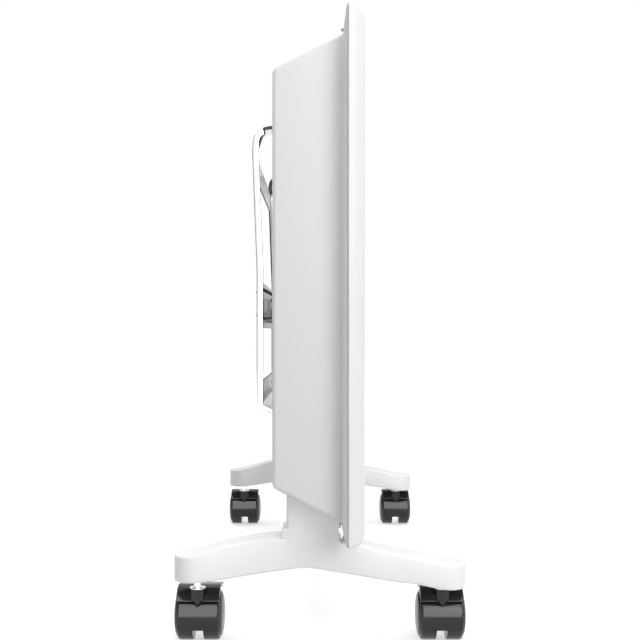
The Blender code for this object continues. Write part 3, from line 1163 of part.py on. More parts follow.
def rocker_outline():
    """The rocker's section about its pivot: a shallow valley outside and a narrow keel inside."""
    return [(ROCKER_PROUD, -ROCKER_HALF_LENGTH), (ROCKER_VALLEY, 0.0), (ROCKER_PROUD, ROCKER_HALF_LENGTH),
            (0.0, ROCKER_HALF_LENGTH), (-ROCKER_KEEL, ROCKER_KEEL_HALF), (-ROCKER_KEEL, -ROCKER_KEEL_HALF),
            (0.0, -ROCKER_HALF_LENGTH)]


def make_heat_switch():
    """Heat switch: a body behind the end wall and a rocker that tilts on its trunnions, off at rest."""
    inner_x = CASING_HALF - CASING_WALL - FIT_GAP
    width = 2 * (SWITCH_OPENING_HALF_WIDTH + SWITCH_WALL)
    length = 2 * (SWITCH_OPENING_HALF_LENGTH + SWITCH_WALL)
    body = box("switch_body", (SWITCH_DEPTH, width, length),
               (inner_x - SWITCH_DEPTH / 2, CASING_MID_Y, ROCKER_Z), "black_plastic")
    cavity = (2 * SWITCH_CAVITY, 2 * SWITCH_OPENING_HALF_WIDTH, 2 * SWITCH_OPENING_HALF_LENGTH)
    cut(body, box("switch_cavity", cavity, (inner_x, CASING_MID_Y, ROCKER_Z)))
    pivot = (inner_x - SWITCH_PIVOT_DEPTH, CASING_MID_Y, ROCKER_Z)
    reach = 2 * (SWITCH_OPENING_HALF_WIDTH + TRUNNION_REACH)
    cut(body, rod("trunnion_holes", TRUNNION_RADIUS + FIT_GAP, reach + 2 * FIT_GAP, pivot, ALONG_Y, None,
                  SMALL_STEPS))
    rocker = rod("switch_rocker", TRUNNION_RADIUS, reach, pivot, ALONG_Y, "black_plastic", SMALL_STEPS)
    tilt = (math.pi / 2, ROCKER_TILT, 0.0)
    combine(rocker, plate("rocker_paddle", [rocker_outline()], 2 * ROCKER_HALF_WIDTH, pivot, tilt), "UNION")


def make_pilot_lamp():
    """The pilot lamp's lens, held behind the end wall by its flange."""
    inner_x = CASING_HALF - CASING_WALL - FIT_GAP
    proud = BEZEL_X + BEZEL_WALL + LENS_PROUD - inner_x
    crown = math.sqrt(1 - CROWN_SHARE ** 2)
    turned("indicator_lens", [(0.0, proud + LENS_RISE),
                              (LENS_RADIUS * CROWN_SHARE, proud + LENS_RISE * crown),
                              (LENS_RADIUS, proud), (LENS_RADIUS, 0.0), (LENS_FLANGE_RADIUS, 0.0),
                              (LENS_FLANGE_RADIUS, -LENS_FLANGE), (0.0, -LENS_FLANGE)],
           (inner_x, CASING_MID_Y, LENS_Z), ALONG_X, "amber_lens", SMALL_STEPS)


def make_control_bezel():
    """The control plate on the right end, with openings for neck, rocker and lens."""
    outline = rounded(rectangle(BEZEL_WIDTH, BEZEL_HEIGHT, (CASING_MID_Y, BEZEL_Z)), BEZEL_CORNER)
    rocker = rectangle(2 * SWITCH_OPENING_HALF_WIDTH, 2 * SWITCH_OPENING_HALF_LENGTH,
                       (CASING_MID_Y, ROCKER_Z))
    neck = circle(NECK_RADIUS + FIT_GAP, (CASING_MID_Y, KNOB_Z))
    lens = circle(LENS_RADIUS + FIT_GAP, (CASING_MID_Y, LENS_Z), SMALL_STEPS)
    plate("control_bezel", [outline, rocker, neck, lens], BEZEL_WALL,
          (BEZEL_X + BEZEL_WALL / 2, 0.0, 0.0), END_VIEW, "grey_plastic")


def main():
    """Builds the heater from the panel outwards."""
    clear_scene()
    new_collection("convector_heater")
    new_collection("cutters")
    make_front_panel()
    make_outlet_grille()
    make_rear_casing()
    make_wall_bracket()
    make_catches()
    make_feet()
    make_casters()
    make_heating_element()
    make_wall_boxes()
    make_control_bezel()
    make_thermostat()
    make_heat_switch()
    make_pilot_lamp()


main()
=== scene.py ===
"""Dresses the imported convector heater: finer shapes, procedural finishes, studio light and camera.

Metres, +Z up. X runs along the heater, -Y is its front, and the camera looks along +X at its left end.
"""
import sys
import json
import logging
import math
from dataclasses import dataclass, field
from enum import Enum

import bmesh
import bpy
import numpy as np
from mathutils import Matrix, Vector


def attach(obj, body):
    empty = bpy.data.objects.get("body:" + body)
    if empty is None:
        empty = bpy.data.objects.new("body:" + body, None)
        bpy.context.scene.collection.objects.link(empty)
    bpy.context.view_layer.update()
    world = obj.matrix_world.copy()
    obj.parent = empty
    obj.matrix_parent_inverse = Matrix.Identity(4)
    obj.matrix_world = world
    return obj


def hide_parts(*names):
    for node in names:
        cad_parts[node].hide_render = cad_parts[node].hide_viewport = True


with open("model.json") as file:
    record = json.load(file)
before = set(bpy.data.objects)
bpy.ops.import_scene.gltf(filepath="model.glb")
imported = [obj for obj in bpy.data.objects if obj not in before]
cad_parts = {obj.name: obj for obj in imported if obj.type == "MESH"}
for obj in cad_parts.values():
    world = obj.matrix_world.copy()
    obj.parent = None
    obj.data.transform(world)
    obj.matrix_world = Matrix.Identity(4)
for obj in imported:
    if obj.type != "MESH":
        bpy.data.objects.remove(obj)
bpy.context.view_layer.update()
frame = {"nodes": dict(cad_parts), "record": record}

Points = np.ndarray
Faces = list[list[int]]
Pair = tuple[float, float]
Pairs = tuple[Pair, ...]
Triple = tuple[float, float, float]
LOG = logging.getLogger("convector_heater")

MERGE_DISTANCE = 1e-6
COPY_MERGE_DISTANCE = 1e-5
FLAT_ANGLE = math.radians(0.5)
SHARP_ANGLE = math.radians(32.0)
FIT_GAP = 0.0003
EDGE_STEPS, SOFT_STEPS = 4, 2
STRIP_CORNER_SHARE, STRIP_CORNER_STEPS = 0.3, 2
BROAD_SHARE = 12.0
BROAD_DETAIL, FINE_DETAIL = 3.0, 4.0
LEAST_ROUGHNESS = 0.02
MIX_FIRST, MIX_SECOND, MIX_RESULT = 6, 7, 2
WHITE = (1.0, 1.0, 1.0, 1.0)
SIDES = (("left", -1.0), ("right", 1.0))


class Plane(Enum):
    """Where a flat outline's two directions point, and then its depth or a turned piece's axis."""

    END = ((0, 1, 0), (0, 0, 1), (1, 0, 0))
    REAR = ((0, 0, 1), (1, 0, 0), (0, 1, 0))
    FRONT = ((1, 0, 0), (0, 0, 1), (0, -1, 0))
    PLAN = ((1, 0, 0), (0, 1, 0), (0, 0, 1))


@dataclass(frozen=True)
class Shell:
    """One surface: its points and the faces between them."""

    points: Points
    faces: Faces

    def moved(self, place: Triple) -> "Shell":
        """The same surface with its origin at the place."""
        return Shell(self.points + np.asarray(place), self.faces)


class Graph:
    """A node tree that takes one call for each node."""

    def __init__(self, owner: bpy.types.Material | bpy.types.World) -> None:
        """Turns on the owner's node tree and keeps it."""
        owner.use_nodes = True
        self.nodes, self.links = owner.node_tree.nodes, owner.node_tree.links

    def fill(self, node: bpy.types.Node, inputs: dict[str | int, object]) -> bpy.types.Node:
        """Links each input that is given a socket, and writes any other value on the input's own socket.

        Args:
            node: The node.
            inputs: What goes into its inputs, by name or number.

        Returns:
            The node.
        """
        for key, value in inputs.items():
            if isinstance(value, bpy.types.NodeSocket):
                self.links.new(value, node.inputs[key])
            else:
                node.inputs[key].default_value = value
        return node

    def add(self, kind: str, inputs: dict[str | int, object], **settings: str) -> bpy.types.Node:
        """Adds a shader node.

        Args:
            kind: Its type's name, without its ShaderNode.
            inputs: What goes into its inputs.
            **settings: Its options, set before its inputs.

        Returns:
            The node.
        """
        made = self.nodes.new(f"ShaderNode{kind}")
        for name, value in settings.items():
            setattr(made, name, value)
        return self.fill(made, inputs)


def plain_material(name: str, grey: float, roughness: float, specular: float) -> bpy.types.Material:
    """Makes a plain grey material for the studio.

    Args:
        name: The material's name.
        grey: Its grey.
        roughness: Its roughness.
        specular: Its specular level.

    Returns:
        The material.
    """
    made = bpy.data.materials.new(name)
    graph = Graph(made)
    graph.fill(graph.nodes["Principled BSDF"], {"Base Color": (grey, grey, grey, 1.0), "Roughness": roughness,
                                                "Specular IOR Level": specular})
    return made


@dataclass(frozen=True)
class Finish:
    """A procedural finish: a base colour with grain in its tint, its gloss and its relief."""

    name: str
    slot: str
    colour: Triple
    roughness: float
    metallic: float = 0.0
    specular: float = 0.5
    tint_spread: float = 0.02
    gloss_spread: float = 0.05
    grain_scale: float = 400.0
    grain_depth: float = 0.00002
    stretch: Triple = (1.0, 1.0, 1.0)
    coat: float = 0.0
    transmission: float = 0.0

    def material(self) -> bpy.types.Material:
        """Builds the node material, or returns the one already made.

        Object coordinates feed two noises: a broad one that shifts the tint and the gloss a little, and
        a fine one whose height is the relief.

        Returns:
            The material.
        """
        found = bpy.data.materials.get(self.name)
        if found:
            return found
        made = bpy.data.materials.new(self.name)
        graph = Graph(made)
        place = graph.add("TexCoord", {})
        turn = graph.add("Mapping", {"Vector": place.outputs["Object"], "Scale": self.stretch})
        noises = ((self.grain_scale / BROAD_SHARE, BROAD_DETAIL), (self.grain_scale, FINE_DETAIL))
        broad, fine = (graph.add("TexNoise", {"Vector": turn.outputs["Vector"], "Scale": scale,
                                              "Detail": detail}).outputs["Fac"] for scale, detail in noises)
        dark, light = ((*(min(1.0, value * gain) for value in self.colour), 1.0)
                       for gain in (1.0 - self.tint_spread, 1.0 + self.tint_spread))
        tint = graph.add("Mix", {"Factor": broad, MIX_FIRST: dark, MIX_SECOND: light}, data_type="RGBA")
        gloss = graph.add("MapRange", {
            "Value": broad, "To Min": max(LEAST_ROUGHNESS, self.roughness - self.gloss_spread),
            "To Max": self.roughness + self.gloss_spread})
        relief = graph.add("Bump", {"Height": fine, "Distance": self.grain_depth, "Strength": 1.0})
        graph.fill(graph.nodes["Principled BSDF"], {
            "Base Color": tint.outputs[MIX_RESULT], "Roughness": gloss.outputs["Result"],
            "Normal": relief.outputs["Normal"], "Metallic": self.metallic,
            "Specular IOR Level": self.specular, "Coat Weight": self.coat,
            "Transmission Weight": self.transmission})
        return made


WHITE_ENAMEL = Finish("white_enamel_coat", "white_enamel", (0.86, 0.86, 0.865), 0.36, specular=0.4,
                      tint_spread=0.006, gloss_spread=0.04, grain_scale=900.0, grain_depth=0.000006)
# A darker copy of the white enamel that the casing shares with the panel: its lower colour is painted shade
# on the casing, which sits recessed behind the panel's end.
SHADED_WHITE_ENAMEL = Finish("white_enamel_shaded_copy", "white_enamel", (0.80, 0.80, 0.805), 0.50, specular=0.3,
                       tint_spread=0.006, gloss_spread=0.04, grain_scale=900.0, grain_depth=0.000006)
WHITE_MOULDING = Finish("white_moulded_plastic", "white_moulding", (0.93, 0.93, 0.935), 0.42,
                        tint_spread=0.006, grain_scale=1400.0, grain_depth=0.000008)
ZINC_PLATE = Finish("zinc_plated_steel", "zinc_plate", (0.80, 0.81, 0.82), 0.22, metallic=1.0,
                    tint_spread=0.05, gloss_spread=0.07, grain_scale=300.0, grain_depth=0.000006)
SPRING_STEEL = Finish("blued_spring_steel", "dark_steel", (0.15, 0.15, 0.16), 0.32, metallic=1.0,
                      tint_spread=0.12, gloss_spread=0.08, grain_scale=700.0, grain_depth=0.000004)
# Near-black steel on the bracket's cut edges and softened edges: bare cut steel, darkened far past it as
# painted shade and painted reflection that draw the bracket's dark outlines.
CUT_EDGE_AND_SHADE = Finish("cut_edge_and_painted_shade", "zinc_plate", (0.035, 0.035, 0.038), 0.40, metallic=1.0,
                  tint_spread=0.15, gloss_spread=0.08, grain_scale=900.0, grain_depth=0.000005)
BRIGHT_CHROME = Finish("bright_chrome_plate", "bright_chrome", (0.88, 0.88, 0.89), 0.10, metallic=1.0,
                       tint_spread=0.02, gloss_spread=0.03, grain_scale=600.0, grain_depth=0.000002)
# Dark steel for the catches and axles; the same finish also makes the dark sheets of painted shade under the
# bracket's tongues.
DARK_STEEL_AND_SHADE = Finish("dark_steel_and_painted_shade", "dark_steel", (0.025, 0.025, 0.028), 0.28, metallic=1.0,
                    tint_spread=0.10, gloss_spread=0.08, grain_scale=700.0, grain_depth=0.000004)
BLACK_HOOD = Finish("black_hood_gloss", "black_hood", (0.010, 0.010, 0.011), 0.16, specular=0.42,
                    tint_spread=0.10, gloss_spread=0.03, grain_scale=900.0, grain_depth=0.000003)
BLACK_TREAD = Finish("black_wheel_gloss", "black_tread", (0.011, 0.011, 0.012), 0.20, specular=0.45,
                     tint_spread=0.10, gloss_spread=0.04, grain_scale=900.0, grain_depth=0.000004)
ALUMINIUM_FINS = Finish("drawn_aluminium", "aluminium_fins", (0.78, 0.78, 0.79), 0.34, metallic=1.0,
                        tint_spread=0.05, grain_scale=900.0, grain_depth=0.00001, stretch=(0.03, 1.0, 1.0))
SHEATH_STEEL = Finish("heated_sheath_steel", "sheath_steel", (0.35, 0.33, 0.31), 0.45, metallic=1.0,
                      tint_spread=0.18, grain_scale=500.0)
GREY_PLASTIC = Finish("grey_moulded_plastic", "grey_plastic", (0.52, 0.52, 0.53), 0.46, tint_spread=0.02,
                      grain_scale=1500.0, grain_depth=0.00001)
BLACK_PLASTIC = Finish("black_moulded_plastic", "black_plastic", (0.025, 0.025, 0.027), 0.40,
                       tint_spread=0.08, grain_scale=1500.0, grain_depth=0.00001)
AMBER_LENS = Finish("amber_lamp_lens", "amber_lens", (0.90, 0.34, 0.05), 0.12, tint_spread=0.03,
                    grain_scale=300.0, grain_depth=0.000001, transmission=0.35)


def spokes(turn: Points) -> Points:
    """Unit directions (cos t, sin t) at the angles t."""
    return np.stack([np.cos(turn), np.sin(turn)], axis=1)


def smooth_step(way: Points) -> Points:
    """Eases shares w from 0 to 1 as w * w * (3 - 2 * w)."""
    return way * way * (3.0 - 2.0 * way)


def arc(radius: float, start: float, end: float, steps: int, centre: Pair = (0.0, 0.0)) -> Points:
    """Points along an arc: centre + radius * (cos t, sin t) as t runs evenly from start to end.

    Args:
        radius: The arc's radius.
        start: First angle.
        end: Last angle.
        steps: Steps between both ends, which are both kept.
        centre: The arc's centre.

    Returns:
        The (steps + 1, 2) points.
    """
    return spokes(np.linspace(start, end, steps + 1)) * radius + np.asarray(centre)


def round_rectangle(half_width: float, low: float, high: float, radius: float, steps: int,
                    centre: float = 0.0) -> Points:
    """A rectangle whose four corners are quarter arcs, run round once from its lower right corner.

    Args:
        half_width: Half its width about the centre.
        low: Its lowest height.
        high: Its highest height.
        radius: The corners' radius.
        steps: Steps along each corner.
        centre: Its middle across.

    Returns:
        The (4 * (steps + 1), 2) outline.
    """
    inner = half_width - radius
    corners = [(inner, low + radius, -90.0), (inner, high - radius, 0.0),
               (-inner, high - radius, 90.0), (-inner, low + radius, 180.0)]
    quarters = [arc(radius, math.radians(turn), math.radians(turn + 90.0), steps, (centre + across, up))
                for across, up, turn in corners]
    return np.concatenate(quarters)


def mitre_normals(path: Points, closed: bool) -> Points:
    """Side normals of a path, stretched at its corners so that an offset keeps its distance from both sides.

    At each point it is (a + b) / (1 + a.b), with a and b the unit normals of the sides before and after it,
    each the side's direction turned a quarter to the right.

    Args:
        path: The (n, 2) points.
        closed: Whether the last point joins the first.

    Returns:
        The (n, 2) normals.
    """
    side = np.roll(path, -1, axis=0) - path
    if not closed:
        side[-1] = side[-2]
    after = side / np.linalg.norm(side, axis=1, keepdims=True)
    before = np.roll(after, 1, axis=0)
    if not closed:
        before[0] = after[0]
    after, before = (np.stack([run[:, 1], -run[:, 0]], axis=1) for run in (after, before))
    return (after + before) / (1.0 + np.sum(after * before, axis=1, keepdims=True))


def rounded_path(corners: Points, radius: float, steps: int, closed: bool = True) -> Points:
    """Rounds a path's corners: each becomes a quadratic curve from a radius before it to a radius after it.

    Args:
        corners: The (n, 2) corners.
        radius: How far from its corner each curve starts and ends.
        steps: Steps along each curve.
        closed: Whether the path joins its first corner.

    Returns:
        The rounded path's points.
    """
    before = np.roll(corners, 1, axis=0) - corners
    after = np.roll(corners, -1, axis=0) - corners
    before *= radius / np.linalg.norm(before, axis=1, keepdims=True)
    after *= radius / np.linalg.norm(after, axis=1, keepdims=True)
    way = np.linspace(0.0, 1.0, steps + 1)[None, :, None]
    curve = corners[:, None] + before[:, None] * (1.0 - way) ** 2 + after[:, None] * way ** 2
    if closed:
        return curve.reshape(-1, 2)
    return np.concatenate([corners[:1], curve[1:-1].reshape(-1, 2), corners[-1:]])


def smooth_heights(places: Points, knots: Points) -> Points:
    """Heights on a smooth curve through the knots: a cubic Hermite curve with each knot's slope the mean of
    the slopes of its two sides.

    Args:
        places: Where the heights are wanted.
        knots: The knots' (place, height) pairs, the places rising.

    Returns:
        One height for each place.
    """
    spots, heights = knots.T
    gap = np.diff(spots)
    slope = np.diff(heights) / gap
    lean = np.concatenate([slope[:1], (slope[1:] + slope[:-1]) / 2.0, slope[-1:]])
    index = np.clip(np.searchsorted(spots, places) - 1, 0, len(gap) - 1)
    way = (places - spots[index]) / gap[index]
    start, end = heights[index], heights[index + 1]
    rise = gap[index]
    return (start * (1 + 2 * way) * (1 - way) ** 2 + lean[index] * rise * way * (1 - way) ** 2
            + end * way ** 2 * (3 - 2 * way) + lean[index + 1] * rise * way ** 2 * (way - 1))


def lay(flat: Points, depth: Points | float, plane: Plane) -> Points:
    """Lays flat points and their depths into space: u * U + v * V + depth * D.

    Args:
        flat: The (..., 2) points.
        depth: Their depths, one for each point, each row, each column or all.
        plane: Where U, V and D point.

    Returns:
        The (..., 3) points.
    """
    first, second, third = (np.asarray(way, float) for way in plane.value)
    return flat[..., :1] * first + flat[..., 1:] * second + np.asarray(depth)[..., None] * third


def ring_shell(rings: Points, endless: bool = False) -> Shell:
    """Joins closed rings of equal length: each point is a corner of the quads to its next point and ring.

    Args:
        rings: The (rings, points, 3) grid.
        endless: Whether the last ring joins the first. Otherwise both ends get a flat cap.

    Returns:
        The shell.
    """
    count, across = rings.shape[:2]
    index = np.arange(count * across).reshape(count, across)
    here = index if endless else index[:-1]
    there = np.roll(index, -1, axis=0) if endless else index[1:]
    quads = np.stack([here, np.roll(here, -1, axis=1), np.roll(there, -1, axis=1), there], axis=-1)
    faces = quads.reshape(-1, 4).tolist()
    if not endless:
        faces += [index[0, ::-1].tolist(), index[-1].tolist()]
    return Shell(rings.reshape(-1, 3), faces)


def turned(profile: Points, axis: Plane, steps: int = 48, endless: bool = False) -> Shell:
    """A turned shell: each (radius, height) point of the profile goes round the axis as a circle.

    Args:
        profile: The (n, 2) radii and heights.
        axis: Which way the height points.
        steps: Points round each circle.
        endless: Whether the profile closes on itself round a bore.

    Returns:
        The shell.
    """
    circle = spokes(np.linspace(0.0, math.tau, steps, endpoint=False))
    return ring_shell(lay(profile[:, :1, None] * circle, profile[:, 1:], axis), endless)


def edged_prism(outline: Points, half: float, edge: float, plane: Plane, support: float = 0.0) -> Shell:
    """A slab of an outline with rounded edges.

    Its rings move in by edge * (1 - sin t) as their depth grows by edge * (1 - cos t), for t from 0 to a
    quarter turn, and mirrored at the far side. A support adds one ring that far inside each flat that an
    edge meets, so that the flats stay flat in gloss.

    Args:
        outline: The (n, 2) outline, run anticlockwise.
        half: Half its thickness.
        edge: The edges' radius.
        plane: How the outline lies in space.
        support: How far inside each flat its support ring lies, or 0 for none.

    Returns:
        The shell.
    """
    turn = np.linspace(0.0, math.pi / 2, EDGE_STEPS + 1)
    inset = edge * (1.0 - np.sin(turn))
    depth = -half + edge * (1.0 - np.cos(turn))
    if support:
        inset = np.concatenate([[edge + support], inset, [0.0]])
        depth = np.concatenate([[-half], depth, [-half + edge + support]])
    inset = np.concatenate([inset, inset[::-1]])
    depth = np.concatenate([depth, -depth[::-1]])
    flat = outline[None] - mitre_normals(outline, True)[None] * inset[:, None, None]
    return ring_shell(lay(flat, depth[:, None], plane))


def strip_along(path: Points, wall: float, width: float, loop: bool) -> Shell:
    """A strip bent along a path in the end plane: a rounded section wall by width carried along the path.

    Args:
        path: The strip's outer (y, z) points, run anticlockwise.
        wall: The strip's thickness, inwards of the path.
        width: The strip's width along X.
        loop: Whether the strip closes on itself. Otherwise both ends are flat.

    Returns:
        The shell.
    """
    section = round_rectangle(width / 2, 0.0, wall, wall * STRIP_CORNER_SHARE, STRIP_CORNER_STEPS)
    flat = path[:, None] - mitre_normals(path, loop)[:, None] * section[None, :, 1:]
    return ring_shell(lay(flat, section[None, :, 0], Plane.END), endless=loop)


def make_piece(name: str, *shells: Shell) -> bpy.types.Object:
    """Makes one object of shells, with its poles merged, its faces outwards and its flat edges kept sharp.

    Args:
        name: The piece's name.
        *shells: Its shells.

    Returns:
        The object, at the origin.
    """
    starts = np.cumsum([0] + [len(shell.points) for shell in shells[:-1]]).tolist()
    faces = [[start + corner for corner in face]
             for start, shell in zip(starts, shells) for face in shell.faces]
    mesh = bpy.data.meshes.new(name)
    mesh.from_pydata(np.concatenate([shell.points for shell in shells]).tolist(), [], faces)
    shape = bmesh.new()
    shape.from_mesh(mesh)
    bmesh.ops.remove_doubles(shape, verts=shape.verts, dist=MERGE_DISTANCE)
    bmesh.ops.dissolve_degenerate(shape, edges=shape.edges, dist=MERGE_DISTANCE)
    if all(edge.is_manifold for edge in shape.edges):
        bmesh.ops.recalc_face_normals(shape, faces=shape.faces)
    shape.to_mesh(mesh)
    shape.free()
    return link_piece(name, mesh)


def link_piece(name: str, mesh: bpy.types.Mesh) -> bpy.types.Object:
    """Shades a mesh smooth up to the sharp angle and links it as an object.

    Args:
        name: The object's name.
        mesh: Its mesh.

    Returns:
        The object.
    """
    mesh.shade_smooth()
    mesh.set_sharp_from_angle(angle=SHARP_ANGLE)
    made = bpy.data.objects.new(name, mesh)
    bpy.context.scene.collection.objects.link(made)
    return made


def merged_copy(name: str, node: str, edge: float) -> bpy.types.Object:
    """A copy of a CAD node's mesh, its triangles joined and its edges softened, for a piece full of cut-outs.

    Args:
        name: The new piece's name.
        node: The CAD node that it is a copy of.
        edge: How wide its softened edges are.

    Returns:
        The object.
    """
    shape = bmesh.new()
    shape.from_mesh(frame["nodes"][node].data)
    bmesh.ops.remove_doubles(shape, verts=shape.verts, dist=COPY_MERGE_DISTANCE)
    bmesh.ops.dissolve_limit(shape, angle_limit=FLAT_ANGLE, verts=shape.verts, edges=shape.edges)
    mesh = bpy.data.meshes.new(name)
    shape.to_mesh(mesh)
    shape.free()
    made = link_piece(name, mesh)
    soften(made, edge)
    return made


def soften(piece: bpy.types.Object, edge: float) -> bpy.types.Modifier:
    """Takes the sharp edges off a piece.

    Args:
        piece: The piece.
        edge: How wide its softened edges are.

    Returns:
        The modifier that does it.
    """
    bevel = piece.modifiers.new("Soften", "BEVEL")
    bevel.limit_method = "ANGLE"
    bevel.angle_limit = SHARP_ANGLE
    bevel.width = edge
    bevel.segments = SOFT_STEPS
    bevel.harden_normals = True
    return bevel


def body_of(node: str) -> str:
    """Names the body that a CAD node belongs to."""
    bodies = frame["record"]["behaviour"]["bodies"]
    return next(body for body, members in bodies.items() if node in members)


def fit(piece: bpy.types.Object, finish: Finish, node: str, stands_for: bool = True) -> None:
    """Gives a piece its finish and lets it ride where a CAD node rides.

    Args:
        piece: The new piece.
        finish: Its finish.
        node: The CAD node that it goes with.
        stands_for: Whether it replaces that node.
    """
    piece.data.materials.clear()
    piece.data.materials.append(finish.material())
    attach(piece, body_of(node))
    if stands_for:
        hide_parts(node)
    LOG.info("%s: %d faces, for %s", piece.name, len(piece.data.polygons), node)


def dress(node: str, finish: Finish) -> None:
    """Gives a CAD node that stays its finish through its object's material slots."""
    for slot in frame["nodes"][node].material_slots:
        slot.material = finish.material()
    LOG.info("%s: kept", node)


@dataclass
class FrontPanel:
    """The dished front sheet with its rounded edge, return lip, grille window and grille."""

    half_width: float = 0.320
    low: float = 0.087
    high: float = 0.487
    front_y: float = -0.0331
    rear_y: float = -0.0207
    wall: float = 0.0012
    edge_radius: float = 0.0112
    corner_radius: float = 0.0030
    lip: float = 0.0205
    bend_radius: float = 0.0006
    window_half: float = 0.270
    window_low: float = 0.430
    window_high: float = 0.464
    window_corner: float = 0.0006
    corner_steps: int = 8
    bend_steps: int = 3
    edge_steps: int = 18
    grille_edge: float = 0.0004

    def section(self) -> Points:
        """The sheet's closed section as (inset, y) pairs, without its window's two rims.

        From the lip's inner edge it runs out along the rear, round the bend and the front edge's quarter
        circle inset = r * (1 - cos t), y = front + r * (1 - sin t), and back inside, a wall further in.

        Returns:
            Both halves, outer and inner, each from the lip to the front face.
        """
        quarter = np.linspace(0.0, math.pi / 2, self.edge_steps + 1)
        halves = []
        for wall in (0.0, self.wall):
            radius = self.edge_radius - wall
            bend = arc(self.bend_radius, math.pi / 2, math.pi, self.bend_steps,
                       (wall + self.bend_radius, self.rear_y - wall - self.bend_radius))
            front = np.stack([wall + radius * (1 - np.cos(quarter)),
                              self.front_y + wall + radius * (1 - np.sin(quarter))], axis=1)
            halves.append(np.concatenate([[(self.lip, self.rear_y - wall)], bend, front]))
        return np.stack(halves)

    @staticmethod
    def at_depth(flat: Points, depth_y: float) -> Points:
        """Stands an outline upright at a depth."""
        return lay(flat, -depth_y, Plane.FRONT)

    def ring(self, inset: float, depth_y: float) -> Points:
        """The panel's outline moved in by the inset.

        Args:
            inset: How far it moves in.
            depth_y: Its depth.

        Returns:
            The ring's points.
        """
        flat = round_rectangle(self.half_width - inset, self.low + inset, self.high - inset,
                               self.corner_radius, self.corner_steps)
        return self.at_depth(flat, depth_y)

    def build(self) -> None:
        """Builds the sheet and the grille and dresses them."""
        outer, inner = self.section()
        window = round_rectangle(self.window_half, self.window_low, self.window_high, self.window_corner,
                                 self.corner_steps)
        rims = [self.at_depth(window, self.front_y + inwards) for inwards in (0.0, self.wall)]
        rings = [*(self.ring(*pair) for pair in outer), *rims, *(self.ring(*pair) for pair in inner[::-1])]
        sheet = make_piece("panel_sheet", ring_shell(np.stack(rings), endless=True))
        fit(sheet, WHITE_ENAMEL, "front_panel")
        grille = merged_copy("warm_air_grille", "outlet_grille", self.grille_edge)
        fit(grille, WHITE_MOULDING, "outlet_grille")


@dataclass
class RearCasing:
    """The tub on the panel's back, with its flange and openings, and what is fixed inside it."""

    edge: float = 0.0003
    flange_half: float = 0.320
    flange_front_y: float = -0.0204
    flange_thickness: float = 0.0033
    flange_slant: float = 0.0045
    slant_reach: float = 0.0060
    gland_centre: Triple = (0.262, 0.0362, 0.160)
    gland_profile: Pairs = (
        (0.0037, 0.0140), (0.0052, 0.0140), (0.0058, 0.0134), (0.0065, 0.0030), (0.0094, 0.0030),
        (0.0100, 0.0024), (0.0100, 0.0), (0.0065, 0.0), (0.0065, -0.0072), (0.0037, -0.0072))
    inside: dict[str, Finish] = field(default_factory=lambda: {
        "element_fins": ALUMINIUM_FINS, "element_sheath": SHEATH_STEEL, "element_support_left": ZINC_PLATE,
        "element_support_right": ZINC_PLATE, "heat_shield": ZINC_PLATE, "thermal_cutout": BLACK_PLASTIC,
        "tip_over_switch": GREY_PLASTIC, "terminal_block": GREY_PLASTIC})

    def slant_flange(self, mesh: bpy.types.Mesh) -> None:
        """Slants the flange's end edges: x moves in by slant * depth share * reach share.

        The depth share runs from 0 at the flange's front to 1 at its rear, and the reach share from 0 a
        reach inside its end to 1 at the end.

        Args:
            mesh: The tub's mesh, changed in place.
        """
        points = np.empty(len(mesh.vertices) * 3)
        mesh.vertices.foreach_get("co", points)
        points = points.reshape(-1, 3)
        depth = np.clip((points[:, 1] - self.flange_front_y) / self.flange_thickness, 0.0, 1.0)
        reach = np.clip((np.abs(points[:, 0]) - self.flange_half) / self.slant_reach + 1.0, 0.0, 1.0)
        points[:, 0] -= np.sign(points[:, 0]) * self.flange_slant * depth * reach
        mesh.vertices.foreach_set("co", points.ravel())
        mesh.update()

    def build(self) -> None:
        """Builds the tub and the lead's gland, and dresses the pieces inside."""
        tub = merged_copy("casing_tub", "rear_casing", self.edge)
        self.slant_flange(tub.data)
        # The tub wears the darker copy of the white enamel, painted shade.
        fit(tub, SHADED_WHITE_ENAMEL, "rear_casing")
        gland = turned(np.array(self.gland_profile), Plane.REAR, endless=True).moved(self.gland_centre)
        fit(make_piece("lead_gland", gland), BLACK_PLASTIC, "cable_gland")
        for node, finish in self.inside.items():
            dress(node, finish)


